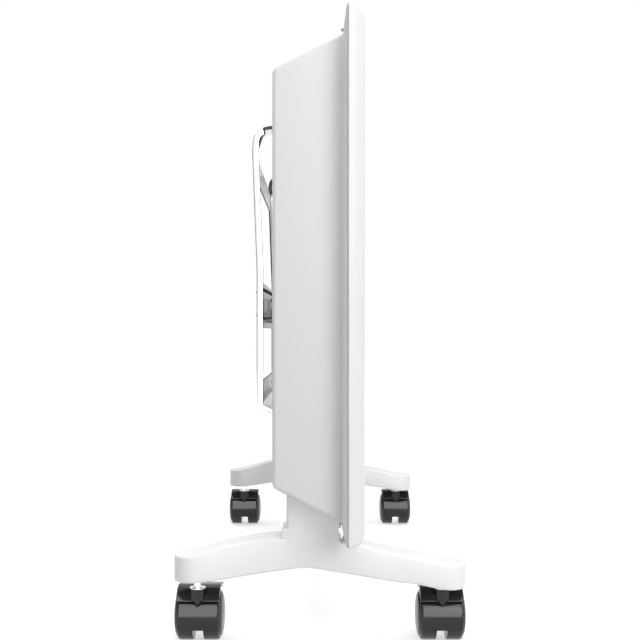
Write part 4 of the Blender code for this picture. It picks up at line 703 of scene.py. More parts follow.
@dataclass
class WallBracket:
    """The folded sheet bracket, a grid along its path and across its width, with its catches and rivets."""

    half_width: float = 0.160
    wall: float = 0.0015
    fold_radius: float = 0.0022
    fold_depth: float = 0.0058
    casing_y: float = 0.0359
    tongue_tip_y: float = 0.0287
    arm_z: float = 0.42705
    flat_y: float = 0.0558
    flat_low: float = 0.1785
    flat_high: float = 0.3003
    crest: Pair = (0.0598, 0.4055)
    bend: Pair = (0.0584, 0.42375)
    bend_radius: float = 0.0100
    bend_steps: int = 12
    lead_share: float = 0.26
    fold_steps: int = 4
    foot_z: float = 0.1697
    foot_bend: float = 0.0022
    foot_steps: int = 5
    upright: float = 0.130
    tongue: Pair = (0.1285, 0.1585)
    top_gap_low: float = 0.4080
    windows: Pairs = ((0.2930, 0.3850), (0.2000, 0.2500))
    hole_radius: float = 0.0035
    hole_room: float = 0.0056
    hole_x: float = 0.095
    hole_heights: Pair = (0.396, 0.189)
    hole_cells: int = 4
    # The path, wall, width and place of the dark sheets under the tongues: painted shade in the hollow of the
    # top bends.
    shade_sheet: Pairs = ((0.0568, 0.4068), (0.0548, 0.4086), (0.0530, 0.4135), (0.0514, 0.4185),
                     (0.0503, 0.4215), (0.0482, 0.4240), (0.0440, 0.4250), (0.0363, 0.4253))
    shade_sheet_wall: float = 0.0026
    side_end_y: float = 0.0500
    shade_sheet_width: float = 0.0150
    shade_sheet_x: float = 0.1500
    catch_x: float = 0.142
    catch_low: float = 0.2560
    catch_high: float = 0.2870
    catch_slope: float = 0.0095
    catch_rise: float = 0.0016
    catch_width: float = 0.0150
    catch_wall: float = 0.0029
    catch_corner: float = 0.0022
    catch_steps: int = 6
    edge: float = 0.0005
    cheek_radius: float = 0.0078
    cheek_z: float = 0.2675
    cheek_wall: float = 0.0016
    cheek_edge: float = 0.0003
    cheek_steps: int = 24
    rivet_heights: Pair = (0.2812, 0.2606)
    rivet_head: Pair = (0.0024, 0.0011)
    rivet_shank: Pair = (0.0015, 0.0032)
    rivet_steps: tuple[int, int] = (8, 32)

    def face_y(self, heights: Points) -> Points:
        """Depths of the rear face at heights: upright up to the flat's top, then leaning to the crest."""
        lean = (self.crest[0] - self.flat_y) / (self.crest[1] - self.flat_high)
        return self.flat_y + np.maximum(0.0, np.asarray(heights) - self.flat_high) * lean

    def hole_lines(self, middle: float) -> Points:
        """Grid lines across a hole's square room."""
        return middle + np.linspace(-self.hole_room, self.hole_room, self.hole_cells + 1)

    def path(self) -> Points:
        """The outer face from the tongue's tip, over the rounded top and down to the bottom flange.

        Returns:
            The path's (y, z) points.
        """
        top = rounded_path(np.array([(self.casing_y + FIT_GAP, self.arm_z), self.bend, self.crest]),
                           self.bend_radius, self.bend_steps, closed=False)
        lead_z = self.arm_z + (self.bend[1] - self.arm_z) * self.lead_share
        start = [(self.tongue_tip_y, self.arm_z), (self.casing_y + FIT_GAP, self.arm_z),
                 (self.casing_y + self.fold_depth, lead_z)]
        share = (self.top_gap_low - self.crest[1]) / (self.bend[1] - self.crest[1])
        gap_line = (self.crest[0] + share * (self.bend[0] - self.crest[0]), self.top_gap_low)
        levels = np.concatenate([*[self.hole_lines(height) for height in self.hole_heights],
                                 np.ravel(self.windows),
                                 [self.flat_high, self.flat_low + 2 * self.foot_bend]])
        levels = np.sort(levels)[::-1]
        face = np.stack([self.face_y(levels), levels], axis=1)
        foot = rounded_path(np.array([face[-1], (self.flat_y, self.flat_low),
                                      (self.casing_y + FIT_GAP, self.foot_z)]), self.foot_bend,
                            self.foot_steps, closed=False)
        return np.concatenate([start, top[1:-1], [gap_line, self.crest], face, foot[1:]])

    def columns(self) -> Points:
        """The sheet's section: a folded side, its quarter-round fold and the face, and all that mirrored.

        Returns:
            Its (x, depth) pairs from left to right.
        """
        fold = arc(self.fold_radius, 0.0, math.pi / 2, self.fold_steps,
                   (self.half_width - self.fold_radius, 0.0))
        side = np.stack([fold[:, 0], self.fold_radius - fold[:, 1]], axis=1)
        side = np.concatenate([[(self.half_width, self.fold_depth)], side])
        face = np.concatenate([self.hole_lines(self.hole_x), [*self.tongue, self.upright, 0.0]])
        face = np.sort(face[face < side[-1, 0]])[::-1]
        right = np.concatenate([side, np.stack([face, np.zeros(len(face))], axis=1)])
        left = right[-2::-1] * (-1.0, 1.0)
        return np.concatenate([right, left])[::-1]

    def sheet(self) -> Shell:
        """The sheet's grid: point (i, j) is path i moved in along its normal by column j's depth.

        Cells in the windows, between the tongues, beside the tongues and in the holes' rooms are left out,
        and each hole's room is filled by quads from its edge to the hole's circle.

        Returns:
            The open sheet, faces outwards.
        """
        path, columns = self.path(), self.columns()
        place = path[:, None] - self.outward(path)[:, None] * columns[None, :, 1:]
        corner = np.array([path[-self.foot_steps - 3], (self.flat_y, self.flat_low), path[-1]])
        fold_tip = corner[1] - self.outward(corner)[1] * self.fold_depth
        place[-self.foot_steps - 2:-1, [0, -1]] = fold_tip
        below = path[:, 1] < self.arm_z - self.wall
        place[below, :, 0] = np.maximum(place[below, :, 0], self.casing_y + FIT_GAP)
        points = np.concatenate([np.broadcast_to(columns[None, :, :1], (len(path), len(columns), 1)), place],
                                axis=2)
        index = np.arange(len(path) * len(columns)).reshape(len(path), len(columns))
        middle = (path[1:] + path[:-1]) / 2
        across = np.abs((columns[1:, 0] + columns[:-1, 0]) / 2)
        deep = (columns[1:, 1] + columns[:-1, 1]) / 2
        keep = np.ones((len(middle), len(across)), bool)
        height, reach = middle[:, 1][:, None], middle[:, 0][:, None]
        on_face = reach > self.flat_y - self.wall
        for low, high in self.windows:
            keep &= ~(on_face & (height > low) & (height < high) & (across < self.upright)[None])
        keep &= ~((height > self.top_gap_low) & (across < self.tongue[0])[None])
        beside = (across > self.tongue[1]) | (deep > 0)
        keep &= ~((height > self.crest[1]) & (reach < self.side_end_y) & beside[None])
        rooms = (np.abs(across - self.hole_x) < self.hole_room)[None]
        for hole_z in self.hole_heights:
            keep &= ~(on_face & (np.abs(height - hole_z) < self.hole_room) & rooms)
        quads = np.stack([index[:-1, :-1], index[:-1, 1:], index[1:, 1:], index[1:, :-1]], axis=-1)[keep]
        faces = quads.tolist()
        extra = [points.reshape(-1, 3)]
        start = index.size
        for hole_z in self.hole_heights:
            for side in (-1.0, 1.0):
                rim, circle = self.hole_room_loop(path, columns, index, side * self.hole_x, hole_z)
                inner = start + np.arange(len(rim))
                faces += np.stack([rim, np.roll(rim, -1), np.roll(inner, -1), inner], axis=-1).tolist()
                extra.append(circle)
                start += len(rim)
        return Shell(np.concatenate(extra), faces)

    @staticmethod
    def outward(path: Points) -> Points:
        """The path's mitred normals, turned to point away from the casing."""
        return -mitre_normals(path, False)

    def hole_room_loop(self, path: Points, columns: Points, index: Points, hole_x: float,
                       hole_z: float) -> tuple[Points, Points]:
        """The grid points round a hole's room and the circle points that they join.

        Args:
            path: The sheet's path.
            columns: Its columns.
            index: Its grid of point numbers.
            hole_x: The hole's middle along X.
            hole_z: Its height.

        Returns:
            The room's point numbers and the circle's points, both clockwise from the upper left.
        """
        top = int(np.argmin(np.hypot(path[:, 1] - hole_z - self.hole_room, path[:, 0] - self.flat_y)))
        left = int(np.argmin(np.abs(columns[:, 0] - hole_x + self.hole_room)))
        cells = self.hole_cells
        block = index[top:top + cells + 1, left:left + cells + 1]
        rim = np.concatenate([block[0, :-1], block[:-1, -1], block[-1, :0:-1], block[:0:-1, 0]])
        turn = math.radians(135.0) - np.arange(len(rim)) * math.tau / len(rim)
        across = hole_x + self.hole_radius * np.cos(turn)
        heights = hole_z + self.hole_radius * np.sin(turn)
        return rim, np.stack([across, self.face_y(heights), heights], axis=1)

    def build(self) -> None:
        """Builds the sheet, the dark sheets of painted shade under its tongues, both catches and the rivets.
        """
        sheet = make_piece("bracket_sheet", self.sheet())
        solid = sheet.modifiers.new("Wall", "SOLIDIFY")
        solid.thickness = self.wall
        solid.offset = -1.0
        solid.use_even_offset = True
        fit(sheet, ZINC_PLATE, "wall_bracket")
        # Its cut rims and softened edges get near-black steel: painted shade and painted reflection along its
        # outlines, on top of the bare cut edge.
        sheet.data.materials.append(CUT_EDGE_AND_SHADE.material())
        solid.material_offset_rim = 1
        soften(sheet, self.edge).material = 1
        for side, sign in SIDES:
            self.build_catch(side, sign * self.catch_x)
            # A near-black sheet under each tongue: painted shade in the hollow of the top bend.
            shade_sheet = strip_along(np.array(self.shade_sheet)[::-1], self.shade_sheet_wall, self.shade_sheet_width, loop=False)
            shade_sheet = make_piece(f"tongue_shade_sheet_{side}", shade_sheet.moved((sign * self.shade_sheet_x, 0.0, 0.0)))
            fit(shade_sheet, DARK_STEEL_AND_SHADE, "wall_bracket", stands_for=False)

    def build_catch(self, side: str, across: float) -> None:
        """Builds one catch with its cheek and rivets.

        Args:
            side: Which side's catch it is.
            across: Its middle along X.
        """
        back_y = self.flat_y - self.wall - FIT_GAP
        nose_y = self.casing_y + FIT_GAP
        corners = np.array([(back_y, self.catch_low), (back_y, self.catch_high),
                            (nose_y, self.catch_high - self.catch_slope),
                            (nose_y, self.catch_low + self.catch_rise)])
        loop = rounded_path(corners, self.catch_corner, self.catch_steps)
        strip = strip_along(loop, self.catch_wall, self.catch_width, loop=True).moved((across, 0.0, 0.0))
        fit(make_piece(f"catch_strip_{side}", strip), DARK_STEEL_AND_SHADE, f"bracket_catch_{side}")
        disc = arc(self.cheek_radius, math.pi / 2, 3 * math.pi / 2, self.cheek_steps,
                   (back_y - self.catch_wall / 2, self.cheek_z))
        cheek_x = across + math.copysign(self.catch_width / 2 - self.cheek_wall, across)
        cheek = edged_prism(disc, self.cheek_wall / 2, self.cheek_edge, Plane.END)
        cheek = make_piece(f"catch_cheek_{side}", cheek.moved((cheek_x, 0.0, 0.0)))
        fit(cheek, SPRING_STEEL, f"bracket_catch_{side}", stands_for=False)
        radius, rise = self.rivet_head
        shank, length = self.rivet_shank
        dome_steps, round_steps = self.rivet_steps
        dome = np.linspace(0.0, math.pi / 2, dome_steps)
        profile = np.concatenate([np.stack([radius * np.sin(dome), rise * np.cos(dome)], axis=1),
                                  [(shank, 0.0), (shank, -length), (0.0, -length)]])
        for row, height in zip(("upper", "lower"), self.rivet_heights):
            seat = (across, self.flat_y + FIT_GAP, height)
            rivet = turned(profile, Plane.REAR, round_steps).moved(seat)
            fit(make_piece(f"rivet_{side}_{row}", rivet), ZINC_PLATE, f"bracket_rivet_{side}_{row}")


@dataclass(frozen=True)
class CrossScrew:
    """A pan-head screw with a cross recess, standing on a seat that faces +Y."""

    head_radius: float
    head_rise: float
    shank_radius: float
    shank_length: float
    recess_half: float = 0.0005
    recess_reach: float = 0.6
    recess_share: float = 0.7
    recess_blur: float = 0.3
    reach_blur: float = 0.08
    sag: float = 0.45
    crown: tuple[float, int] = (0.92, 24)
    rim_shares: Pair = (0.97, 1.0)
    rim_drops: Pair = (0.85, 0.55)
    round_steps: int = 96

    def shell(self) -> Shell:
        """The screw as a polar grid about the middle of its seat.

        The head's height at radius r is rise * (1 - sag * (r / R)^2), less the rim's drops at its edge, and
        less the recess where the point lies within a half width of either arm of the cross and inside its
        reach.

        Returns:
            The shell.
        """
        share = np.concatenate([np.linspace(0.0, *self.crown), self.rim_shares])
        dome = self.head_rise * (1.0 - self.sag * share ** 2)
        dome[-2:] *= self.rim_drops
        turn = np.linspace(0.0, math.tau, self.round_steps, endpoint=False)
        head = (self.head_radius * share)[:, None, None] * spokes(turn)
        arm = np.abs(head).min(axis=-1)
        inside = np.clip((self.recess_half - arm) / (self.recess_blur * self.recess_half) + 0.5, 0.0, 1.0)
        inside *= np.clip((self.recess_reach - share[:, None]) / self.reach_blur + 0.5, 0.0, 1.0)
        depth = dome[:, None] - inside * self.head_rise * self.recess_share
        under = np.array([(self.head_radius, 0.0), (self.shank_radius, 0.0),
                          (self.shank_radius, -self.shank_length), (0.0, -self.shank_length)])
        flat = np.concatenate([head, under[:, :1, None] * spokes(turn)])
        depth = np.concatenate([depth, np.repeat(under[:, 1:], len(turn), axis=1)])
        return ring_shell(lay(flat, depth, Plane.REAR))


@dataclass
class Feet:
    """Two moulded feet: arms lofted along Y, a post up to the casing, a tab, and their plates and screws."""

    foot_x: float = 0.259
    stem_y: float = 0.0962
    half_width: float = 0.0182
    waist_half: float = 0.0150
    waist_reach: float = 0.0500
    edge: float = 0.0020
    arch: Pair = (0.0100, 0.0632)
    rear_tip: Pair = (0.0515, 0.0720)
    front_tip: Pair = (0.0461, 0.0656)
    rear_root: float = 0.0866
    front_root: float = 0.0836
    post: Pair = (-0.0154, 0.0259)
    tab_depth: float = 0.0046
    tab_heights: Pair = (0.0875, 0.0942)
    tab_root: Pair = (0.004, 0.006)
    tab_rise: float = 0.0005
    tab_share: float = 0.7
    tab_edge: float = 0.0012
    tab_inset: float = 0.0002
    casing_slope: Pair = (0.1014, 0.5151)
    casing_front_y: float = -0.0171
    casing_room: float = 1.2 * FIT_GAP
    arm_steps: int = 48
    tip_steps: int = 17
    edge_steps: int = 7
    post_steps: int = 12
    corner_steps: int = 6
    rear_under: Pairs = ((0.10, 0.01), (0.21, 0.07), (0.36, 0.24), (0.58, 0.53), (0.80, 0.82))
    front_under: Pairs = ((0.10, 0.01), (0.20, 0.11), (0.30, 0.25), (0.46, 0.38), (0.70, 0.67), (0.84, 0.83))
    rear_top: Pairs = ((0.12, 0.02), (0.24, 0.15), (0.42, 0.44), (0.68, 0.81), (0.94, 1.00))
    front_top: Pairs = ((0.10, 0.01), (0.22, 0.10), (0.38, 0.30), (0.58, 0.51), (0.70, 0.66), (0.82, 0.86))
    screw: CrossScrew = CrossScrew(0.0029, 0.0018, 0.0019, 0.0095)
    casing_screw: CrossScrew = CrossScrew(0.0015, 0.0007, 0.0011, 0.0080, 0.0003)
    screw_spacing: float = 0.0560
    screw_seat: Pair = (-0.0154, 0.0955)
    casing_screw_seat: Triple = (0.290, -0.0168, 0.4745)

    @property
    def reach(self) -> float:
        """How far each arm's tip lies from the foot's middle."""
        return self.stem_y + self.half_width

    @staticmethod
    def knots(shares: Pairs, tip: Pair, root: Pair) -> Points:
        """(y, z) knots from a tip to a root: tip + share * (root - tip), each way its own share."""
        table = np.array([(0.0, 0.0), *shares, (1.0, 1.0)])
        return np.asarray(tip) + table * (np.asarray(root) - np.asarray(tip))

    def heights(self, places: Points) -> tuple[Points, Points]:
        """Heights of the underside and of the arms' top, each smooth through both arms' knots.

        The underside's knots meet in the arch. The top is nearly level between the arms' roots.

        Args:
            places: Places along Y.

        Returns:
            The underside's height and the top's at each place.
        """
        under = [self.knots(self.front_under, (-self.reach, self.front_tip[0]), self.arch),
                 self.knots(self.rear_under, (self.reach, self.rear_tip[0]), self.arch)[-2::-1]]
        front, rear = self.post[0], self.post[1] + self.tab_depth
        top = [self.knots(self.front_top, (-self.reach, self.front_tip[1]), (front, self.front_root)),
               self.knots(self.rear_top, (self.reach, self.rear_tip[1]), (rear, self.rear_root))[::-1]]
        return smooth_heights(places, np.concatenate(under)), smooth_heights(places, np.concatenate(top))

    def widths(self, places: Points) -> Points:
        """Half widths: sqrt(r^2 - d^2) at a distance d past the stem, and before it a step to the waist.

        Args:
            places: Places along Y.

        Returns:
            One half width for each place.
        """
        past = np.clip(np.abs(places) - self.stem_y, 0.0, self.half_width)
        tip = np.sqrt(np.maximum(self.half_width ** 2 - past ** 2, 0.0))
        way = np.clip((np.abs(places) - self.waist_reach) / (self.stem_y - self.waist_reach), 0.0, 1.0)
        waist = self.waist_half + (self.half_width - self.waist_half) * smooth_step(way)
        return np.where(np.abs(places) > self.stem_y, tip, waist)

    def stations_along(self) -> tuple[Points, Points]:
        """Places of the loft's rings along Y, close together round the tips and at the post's edges.

        Returns:
            The places, and whether each ring goes up the post. Both ends of the post have two rings.
        """
        turn = np.linspace(0.0, math.pi / 2, self.tip_steps)
        tip = self.stem_y + self.half_width * np.sin(turn)
        edge = self.edge * (1.0 - np.cos(np.linspace(0.0, math.pi / 2, self.edge_steps)))
        front, rear = self.post
        inner = np.linspace(front, rear, self.post_steps)[2:-2]
        post = np.concatenate([front + edge, inner, (rear - edge)[::-1]])
        before = np.linspace(-self.stem_y, front, self.arm_steps)
        after = np.linspace(rear, self.stem_y, self.arm_steps)
        places = np.concatenate([-tip[:0:-1], before, post, after, tip[1:]])
        on_post = np.zeros(len(places), bool)
        on_post[len(tip) - 1 + len(before):][:len(post)] = True
        return places, on_post

    def body(self) -> Shell:
        """The foot as one loft along Y.

        Each ring has round lower corners, shoulders that round in at the arms' top, and above them the
        post's sides. The shoulder's reach is the edge radius on the arms, and on the post it shrinks to
        nothing by edge - sqrt(edge^2 - (edge - d)^2) at a distance d from the post's end.

        Returns:
            The shell.
        """
        places, on_post = self.stations_along()
        wide, (low, high) = self.widths(places), self.heights(places)
        to_tip = np.clip(self.edge - (self.reach - np.abs(places)), 0.0, self.edge)
        shrink = self.edge - np.sqrt(self.edge ** 2 - to_tip ** 2)
        to_end = np.minimum(places - self.post[0], self.post[1] - places)
        short = np.clip(self.edge - to_end, 0.0, self.edge)
        shoulder = np.where(on_post, self.edge - np.sqrt(self.edge ** 2 - short ** 2), self.edge)
        corner = np.minimum(self.edge, wide)
        shoulder = np.minimum(shoulder, wide)
        crown = np.where(on_post, self.casing_z(places), high - shrink)
        quarter = np.linspace(0.0, math.pi / 2, self.corner_steps)
        side = [wide[:, None] - corner[:, None] * (1.0 - np.sin(quarter)),
                wide[:, None] - shoulder[:, None] * (1.0 - np.cos(quarter)),
                (wide - shoulder)[:, None]]
        heights = [(low + shrink)[:, None] + self.edge * (1.0 - np.cos(quarter)),
                   (high - shrink)[:, None] - self.edge * (1.0 - np.sin(quarter)), crown[:, None]]
        side, heights = np.concatenate(side, axis=1), np.concatenate(heights, axis=1)
        ring_x = np.concatenate([side, -side[:, ::-1]], axis=1)
        ring_z = np.concatenate([heights, heights[:, ::-1]], axis=1)
        ring_y = np.broadcast_to(places[:, None], ring_x.shape)
        return ring_shell(np.stack([ring_x, ring_y, ring_z], axis=-1))

    def casing_z(self, places: Points) -> Points:
        """Heights just under the casing's bottom slope."""
        return self.casing_slope[0] + self.casing_slope[1] * (places - self.casing_front_y) - self.casing_room

    def tab(self) -> Shell:
        """The low step behind the post, with a slanted upper edge.

        Returns:
            The shell.
        """
        post, (low, high) = self.post[1], self.tab_heights
        root, under, rear = post - self.tab_root[0], low - self.tab_root[1], post + self.tab_depth
        outline = np.array([(root, under), (rear, under), (rear, low + self.tab_rise),
                            (post + self.tab_share * self.tab_depth, high), (root, high)])
        outline = rounded_path(outline, self.tab_edge, EDGE_STEPS)
        return edged_prism(outline, self.waist_half - self.tab_inset, self.tab_edge, Plane.END)

    def build(self) -> None:
        """Builds both feet and all the screws."""
        for side, sign in SIDES:
            across = sign * self.foot_x
            shells = [shell.moved((across, 0.0, 0.0)) for shell in (self.body(), self.tab())]
            fit(make_piece(f"foot_moulding_{side}", *shells), WHITE_MOULDING, f"foot_{side}")
            dress(f"foot_plate_{side}", ZINC_PLATE)
            for place, shift in (("outer", sign), ("inner", -sign)):
                seat = (across + shift * self.screw_spacing / 2, *self.screw_seat)
                screw = make_piece(f"plate_screw_{side}_{place}", self.screw.shell().moved(seat))
                fit(screw, BRIGHT_CHROME, f"foot_screw_{side}_{place}")
            seat = (sign * self.casing_screw_seat[0], *self.casing_screw_seat[1:])
            screw = make_piece(f"flange_screw_{side}", self.casing_screw.shell().moved(seat))
            fit(screw, SPRING_STEEL, f"casing_screw_{side}")


@dataclass
class Casters:
    """Four twin-wheel casters: hoods with web and boss, domed wheels, stems and collars."""

    foot_x: float = Feet.foot_x
    stem_y: float = Feet.stem_y
    trail: float = 0.0170
    axle_z: float = 0.0200
    wheel_radius: float = 0.0200
    wheel_rim: float = 0.0170
    wheel_face: float = 0.0200
    wheel_inner: float = 0.0042
    wheel_steps: int = 128
    dome_steps: int = 20
    hub_radius: float = 0.0090
    hub_recess: float = 0.0004
    bore: Pair = (0.0023, 0.0161)
    wheel_corner: float = 0.0026
    inner_corner: float = 0.0003
    corner_steps: tuple[int, int] = (6, 4)
    support: float = 0.0002
    hood_outer: float = 0.0240
    hood_inner: float = 0.0212
    hood_half: float = 0.0170
    hood_edge: float = 0.0004
    lip_wall: float = 0.0014
    lip_reach: float = math.radians(16.0)
    lip_drop: float = 0.0005
    lip_steps: int = 61
    cap_steps: int = 10
    hood_front: float = math.radians(143.0)
    hood_rear: float = math.radians(60.0)
    tail_reach: float = 0.0205
    tail_wall: float = 0.0020
    skirt_radius: float = 0.0206
    skirt_wall: float = 0.0003
    skirt_half: float = 0.0146
    skirt_edge: float = 0.0024
    skirt_turn: float = math.radians(60.0)
    skirt_top: float = math.radians(134.0)
    skirt_steps: tuple[int, int] = (8, 49)
    web_half: float = 0.0039
    web_radius: float = 0.0204
    web_edge: float = 0.0002
    web_bottom: float = 0.0112
    web_steps: int = 24
    boss_radius: float = 0.00515
    boss_ridge: float = 0.0009
    boss_edge: float = 0.0004
    boss_heights: Triple = (0.0440, 0.0352, 0.0290)
    boss_foot: float = 0.20
    boss_flanks: Pairs = ((0.0, 1.0), (-0.5, 0.95), (-1.0, 0.0), (-0.5, -0.95), (0.0, -1.0))
    boss_steps: tuple[int, int] = (20, 4)
    stem_radius: float = 0.0030
    stem_edge: float = 0.0005
    stem_low: float = 0.0343
    stem_highs: Pair = (0.0621, 0.0668)
    collar: tuple[float, float, float, float] = (0.0033, 0.0065, 0.0443, 0.0010)
    collar_steps: int = 6

    def wheel(self, axis: Plane) -> Shell:
        """A wheel with a domed face of radius R * sin t and height rise * cos t, and rounded corners.

        Args:
            axis: Which way its face looks.

        Returns:
            The shell.
        """
        face_radius = self.wheel_radius - self.wheel_corner
        outer_steps, inner_steps = self.corner_steps
        dome = np.linspace(0.0, math.pi / 2, self.dome_steps)
        rise = self.wheel_face - self.wheel_rim
        face = np.stack([face_radius * np.sin(dome), self.wheel_rim + rise * np.cos(dome)], axis=1)
        outer = arc(self.wheel_corner, math.pi / 2, 0.0, outer_steps,
                    (face_radius, self.wheel_rim - self.wheel_corner))
        inner = arc(self.inner_corner, 0.0, -math.pi / 2, inner_steps,
                    (self.wheel_radius - self.inner_corner, self.wheel_inner + self.inner_corner))
        tread = [(self.wheel_radius, outer[-1, 1] - self.support),
                 (self.wheel_radius, inner[0, 1] + self.support)]
        bore, depth = self.bore
        floor = self.wheel_inner + self.hub_recess
        hub = [(self.hub_radius, self.wheel_inner), (self.hub_radius - self.hub_recess, floor), (bore, floor),
               (bore, depth), (0.0, depth)]
        return turned(np.concatenate([face, outer[1:], tread, inner, hub]), axis, self.wheel_steps)

    def fender(self) -> Shell:
        """The hood's band over the wheels, with its flat tail behind.

        Towards its front lip its outer radius falls by the drop and its wall thins to the lip's, both by a
        smooth step over the lip's reach.

        Returns:
            The shell.
        """
        high = self.hood_outer * math.sin(self.hood_rear)
        low = high - self.tail_wall
        lip = self.lip_wall / 2
        middle = self.hood_outer - self.lip_drop - lip
        end = self.hood_front - lip / middle
        outside = self.drawn_in(np.linspace(self.hood_rear, end, self.lip_steps), end, self.hood_outer,
                                self.hood_outer - self.lip_drop)
        inside = self.drawn_in(np.linspace(end, math.asin(low / self.hood_inner), self.lip_steps), end,
                               self.hood_inner, middle - lip)
        cap = arc(lip, end, end + math.pi, self.cap_steps, (middle * math.cos(end), middle * math.sin(end)))
        tail = [(self.tail_reach, low), (self.tail_reach, high)]
        outline = np.concatenate([tail, outside, cap[1:-1], inside])
        return edged_prism(outline, self.hood_half, self.hood_edge, Plane.FRONT, self.support)

    def drawn_in(self, turn: Points, end: float, radius: float, last: float) -> Points:
        """Points round the axle whose radius eases to its last value over the lip's reach.

        Args:
            turn: The points' angles.
            end: The lip's angle.
            radius: The radius before the lip's reach.
            last: The radius at the lip.

        Returns:
            The points.
        """
        way = np.clip((end - turn) / self.lip_reach, 0.0, 1.0)
        return spokes(turn) * (last + (radius - last) * smooth_step(way))[:, None]

    def skirt(self) -> Shell:
        """The hood's thin front over both treads, from under its lip down to the web's bottom.

        Its section across is flat between two rounded ends, where the radius falls by edge * (1 - cos t) as
        the reach grows by edge * sin t, with t up to the turn. The section is carried round the axle.

        Returns:
            The shell.
        """
        edge_steps, drop_steps = self.skirt_steps
        turn = np.linspace(0.0, self.skirt_turn, edge_steps)[::-1]
        halves = []
        for wall in (0.0, self.skirt_wall):
            edge = self.skirt_edge - wall
            across = -self.skirt_half - edge * np.sin(turn)
            radius = self.skirt_radius - wall - edge * (1.0 - np.cos(turn))
            flat = np.array([(-self.skirt_half + self.support, self.skirt_radius - wall)])
            left = np.concatenate([np.stack([across, radius], axis=1), flat])
            halves.append(np.concatenate([left, left[::-1] * (-1.0, 1.0)]))
        section = np.concatenate([halves[0], halves[1][::-1]])
        bottom = math.pi + math.asin((self.axle_z - self.web_bottom) / self.skirt_radius)
        way = np.linspace(self.skirt_top, bottom, drop_steps)
        return ring_shell(lay(section[None, :, 1:] * spokes(way)[:, None], section[None, :, 0], Plane.FRONT))

    def web(self) -> Shell:
        """The wall between the wheels, with a flat bottom.

        Returns:
            The shell.
        """
        joint = (self.hood_outer + self.hood_inner) / 2
        under = math.asin((self.axle_z - self.web_bottom) / self.web_radius)
        runs = ((joint, self.hood_rear, self.hood_front), (self.web_radius, self.hood_front, math.pi + under),
                (self.web_radius, -under, self.hood_rear))
        outline = np.concatenate([arc(*run, self.web_steps) for run in runs])
        return edged_prism(outline, self.web_half, self.web_edge, Plane.FRONT, self.support)

    def boss(self) -> Shell:
        """The stem's boss: a round back and a front drawn to an upright ridge, pointed below.

        Its plan is a half circle, two nearly straight sides and two flanks that meet in a ridge one radius in
        front. Each ring is that plan times a share of 1 down to the shoulder. From there its width falls
        evenly to 0 at the point, and its depth to the foot's share.

        Returns:
            The shell.
        """
        back_steps, ridge_steps = self.boss_steps
        back = arc(self.boss_radius, -math.pi / 2, math.pi / 2, back_steps)
        corners = np.array(self.boss_flanks) * self.boss_radius
        flanks = rounded_path(corners, self.boss_ridge, ridge_steps, closed=False)
        plan = np.concatenate([back, flanks[1:-1]])
        top, shoulder, point = self.boss_heights
        rim = 1.0 - self.boss_edge / self.boss_radius
        share = np.array([(0.0, 0.0), (rim, rim), (1.0, 1.0), (1.0, 1.0), (self.boss_foot, 0.0)])
        heights = np.array([top, top, top - self.boss_edge, shoulder, point])
        return ring_shell(lay(plan[None] * share[:, None], heights[:, None], Plane.PLAN))

    def build(self) -> None:
        """Builds the four casters and dresses their axles."""
        for side, sign in SIDES:
            for end, stem_y, stem_high in (("front", -self.stem_y, self.stem_highs[0]),
                                           ("rear", self.stem_y, self.stem_highs[1])):
                self.build_caster(f"{end}_{side}", (sign * self.foot_x, stem_y), stem_high)

    def build_caster(self, name: str, stem: Pair, stem_high: float) -> None:
        """Builds one caster about its stem.

        Args:
            name: Its corner's name.
            stem: The stem's (x, y).
            stem_high: The stem's top height.
        """
        axle, pivot = (stem[0] + self.trail, stem[1], self.axle_z), (*stem, 0.0)
        shells = [shell.moved(axle) for shell in (self.fender(), self.skirt(), self.web())]
        hood = make_piece(f"hood_{name}", *shells, self.boss().moved(pivot))
        fit(hood, BLACK_HOOD, f"caster_{name}_hood")
        for letter, axis in (("a", Plane.FRONT), ("b", Plane.REAR)):
            wheel = make_piece(f"wheel_{name}_{letter}", self.wheel(axis).moved(axle))
            fit(wheel, BLACK_TREAD, f"caster_{name}_wheel_{letter}")
        radius, edge, stem_low = self.stem_radius, self.stem_edge, self.stem_low
        profile = np.array([(0.0, stem_high), (radius - edge, stem_high), (radius, stem_high - edge),
                            (radius, stem_low + edge), (radius - edge, stem_low), (0.0, stem_low)])
        pin = make_piece(f"stem_{name}", turned(profile, Plane.PLAN).moved(pivot))
        fit(pin, BRIGHT_CHROME, f"caster_{name}_stem")
        bore, radius, low, rise = self.collar
        rim = arc(rise / 2, -math.pi / 2, math.pi / 2, self.collar_steps, (radius - rise / 2, low + rise / 2))
        ring = np.concatenate([[(bore, low)], rim, [(bore, low + rise)]])
        collar = make_piece(f"collar_{name}", turned(ring, Plane.PLAN, endless=True).moved(pivot))
        fit(collar, BRIGHT_CHROME, f"caster_{name}_collar")
        dress(f"caster_{name}_axle", DARK_STEEL_AND_SHADE)


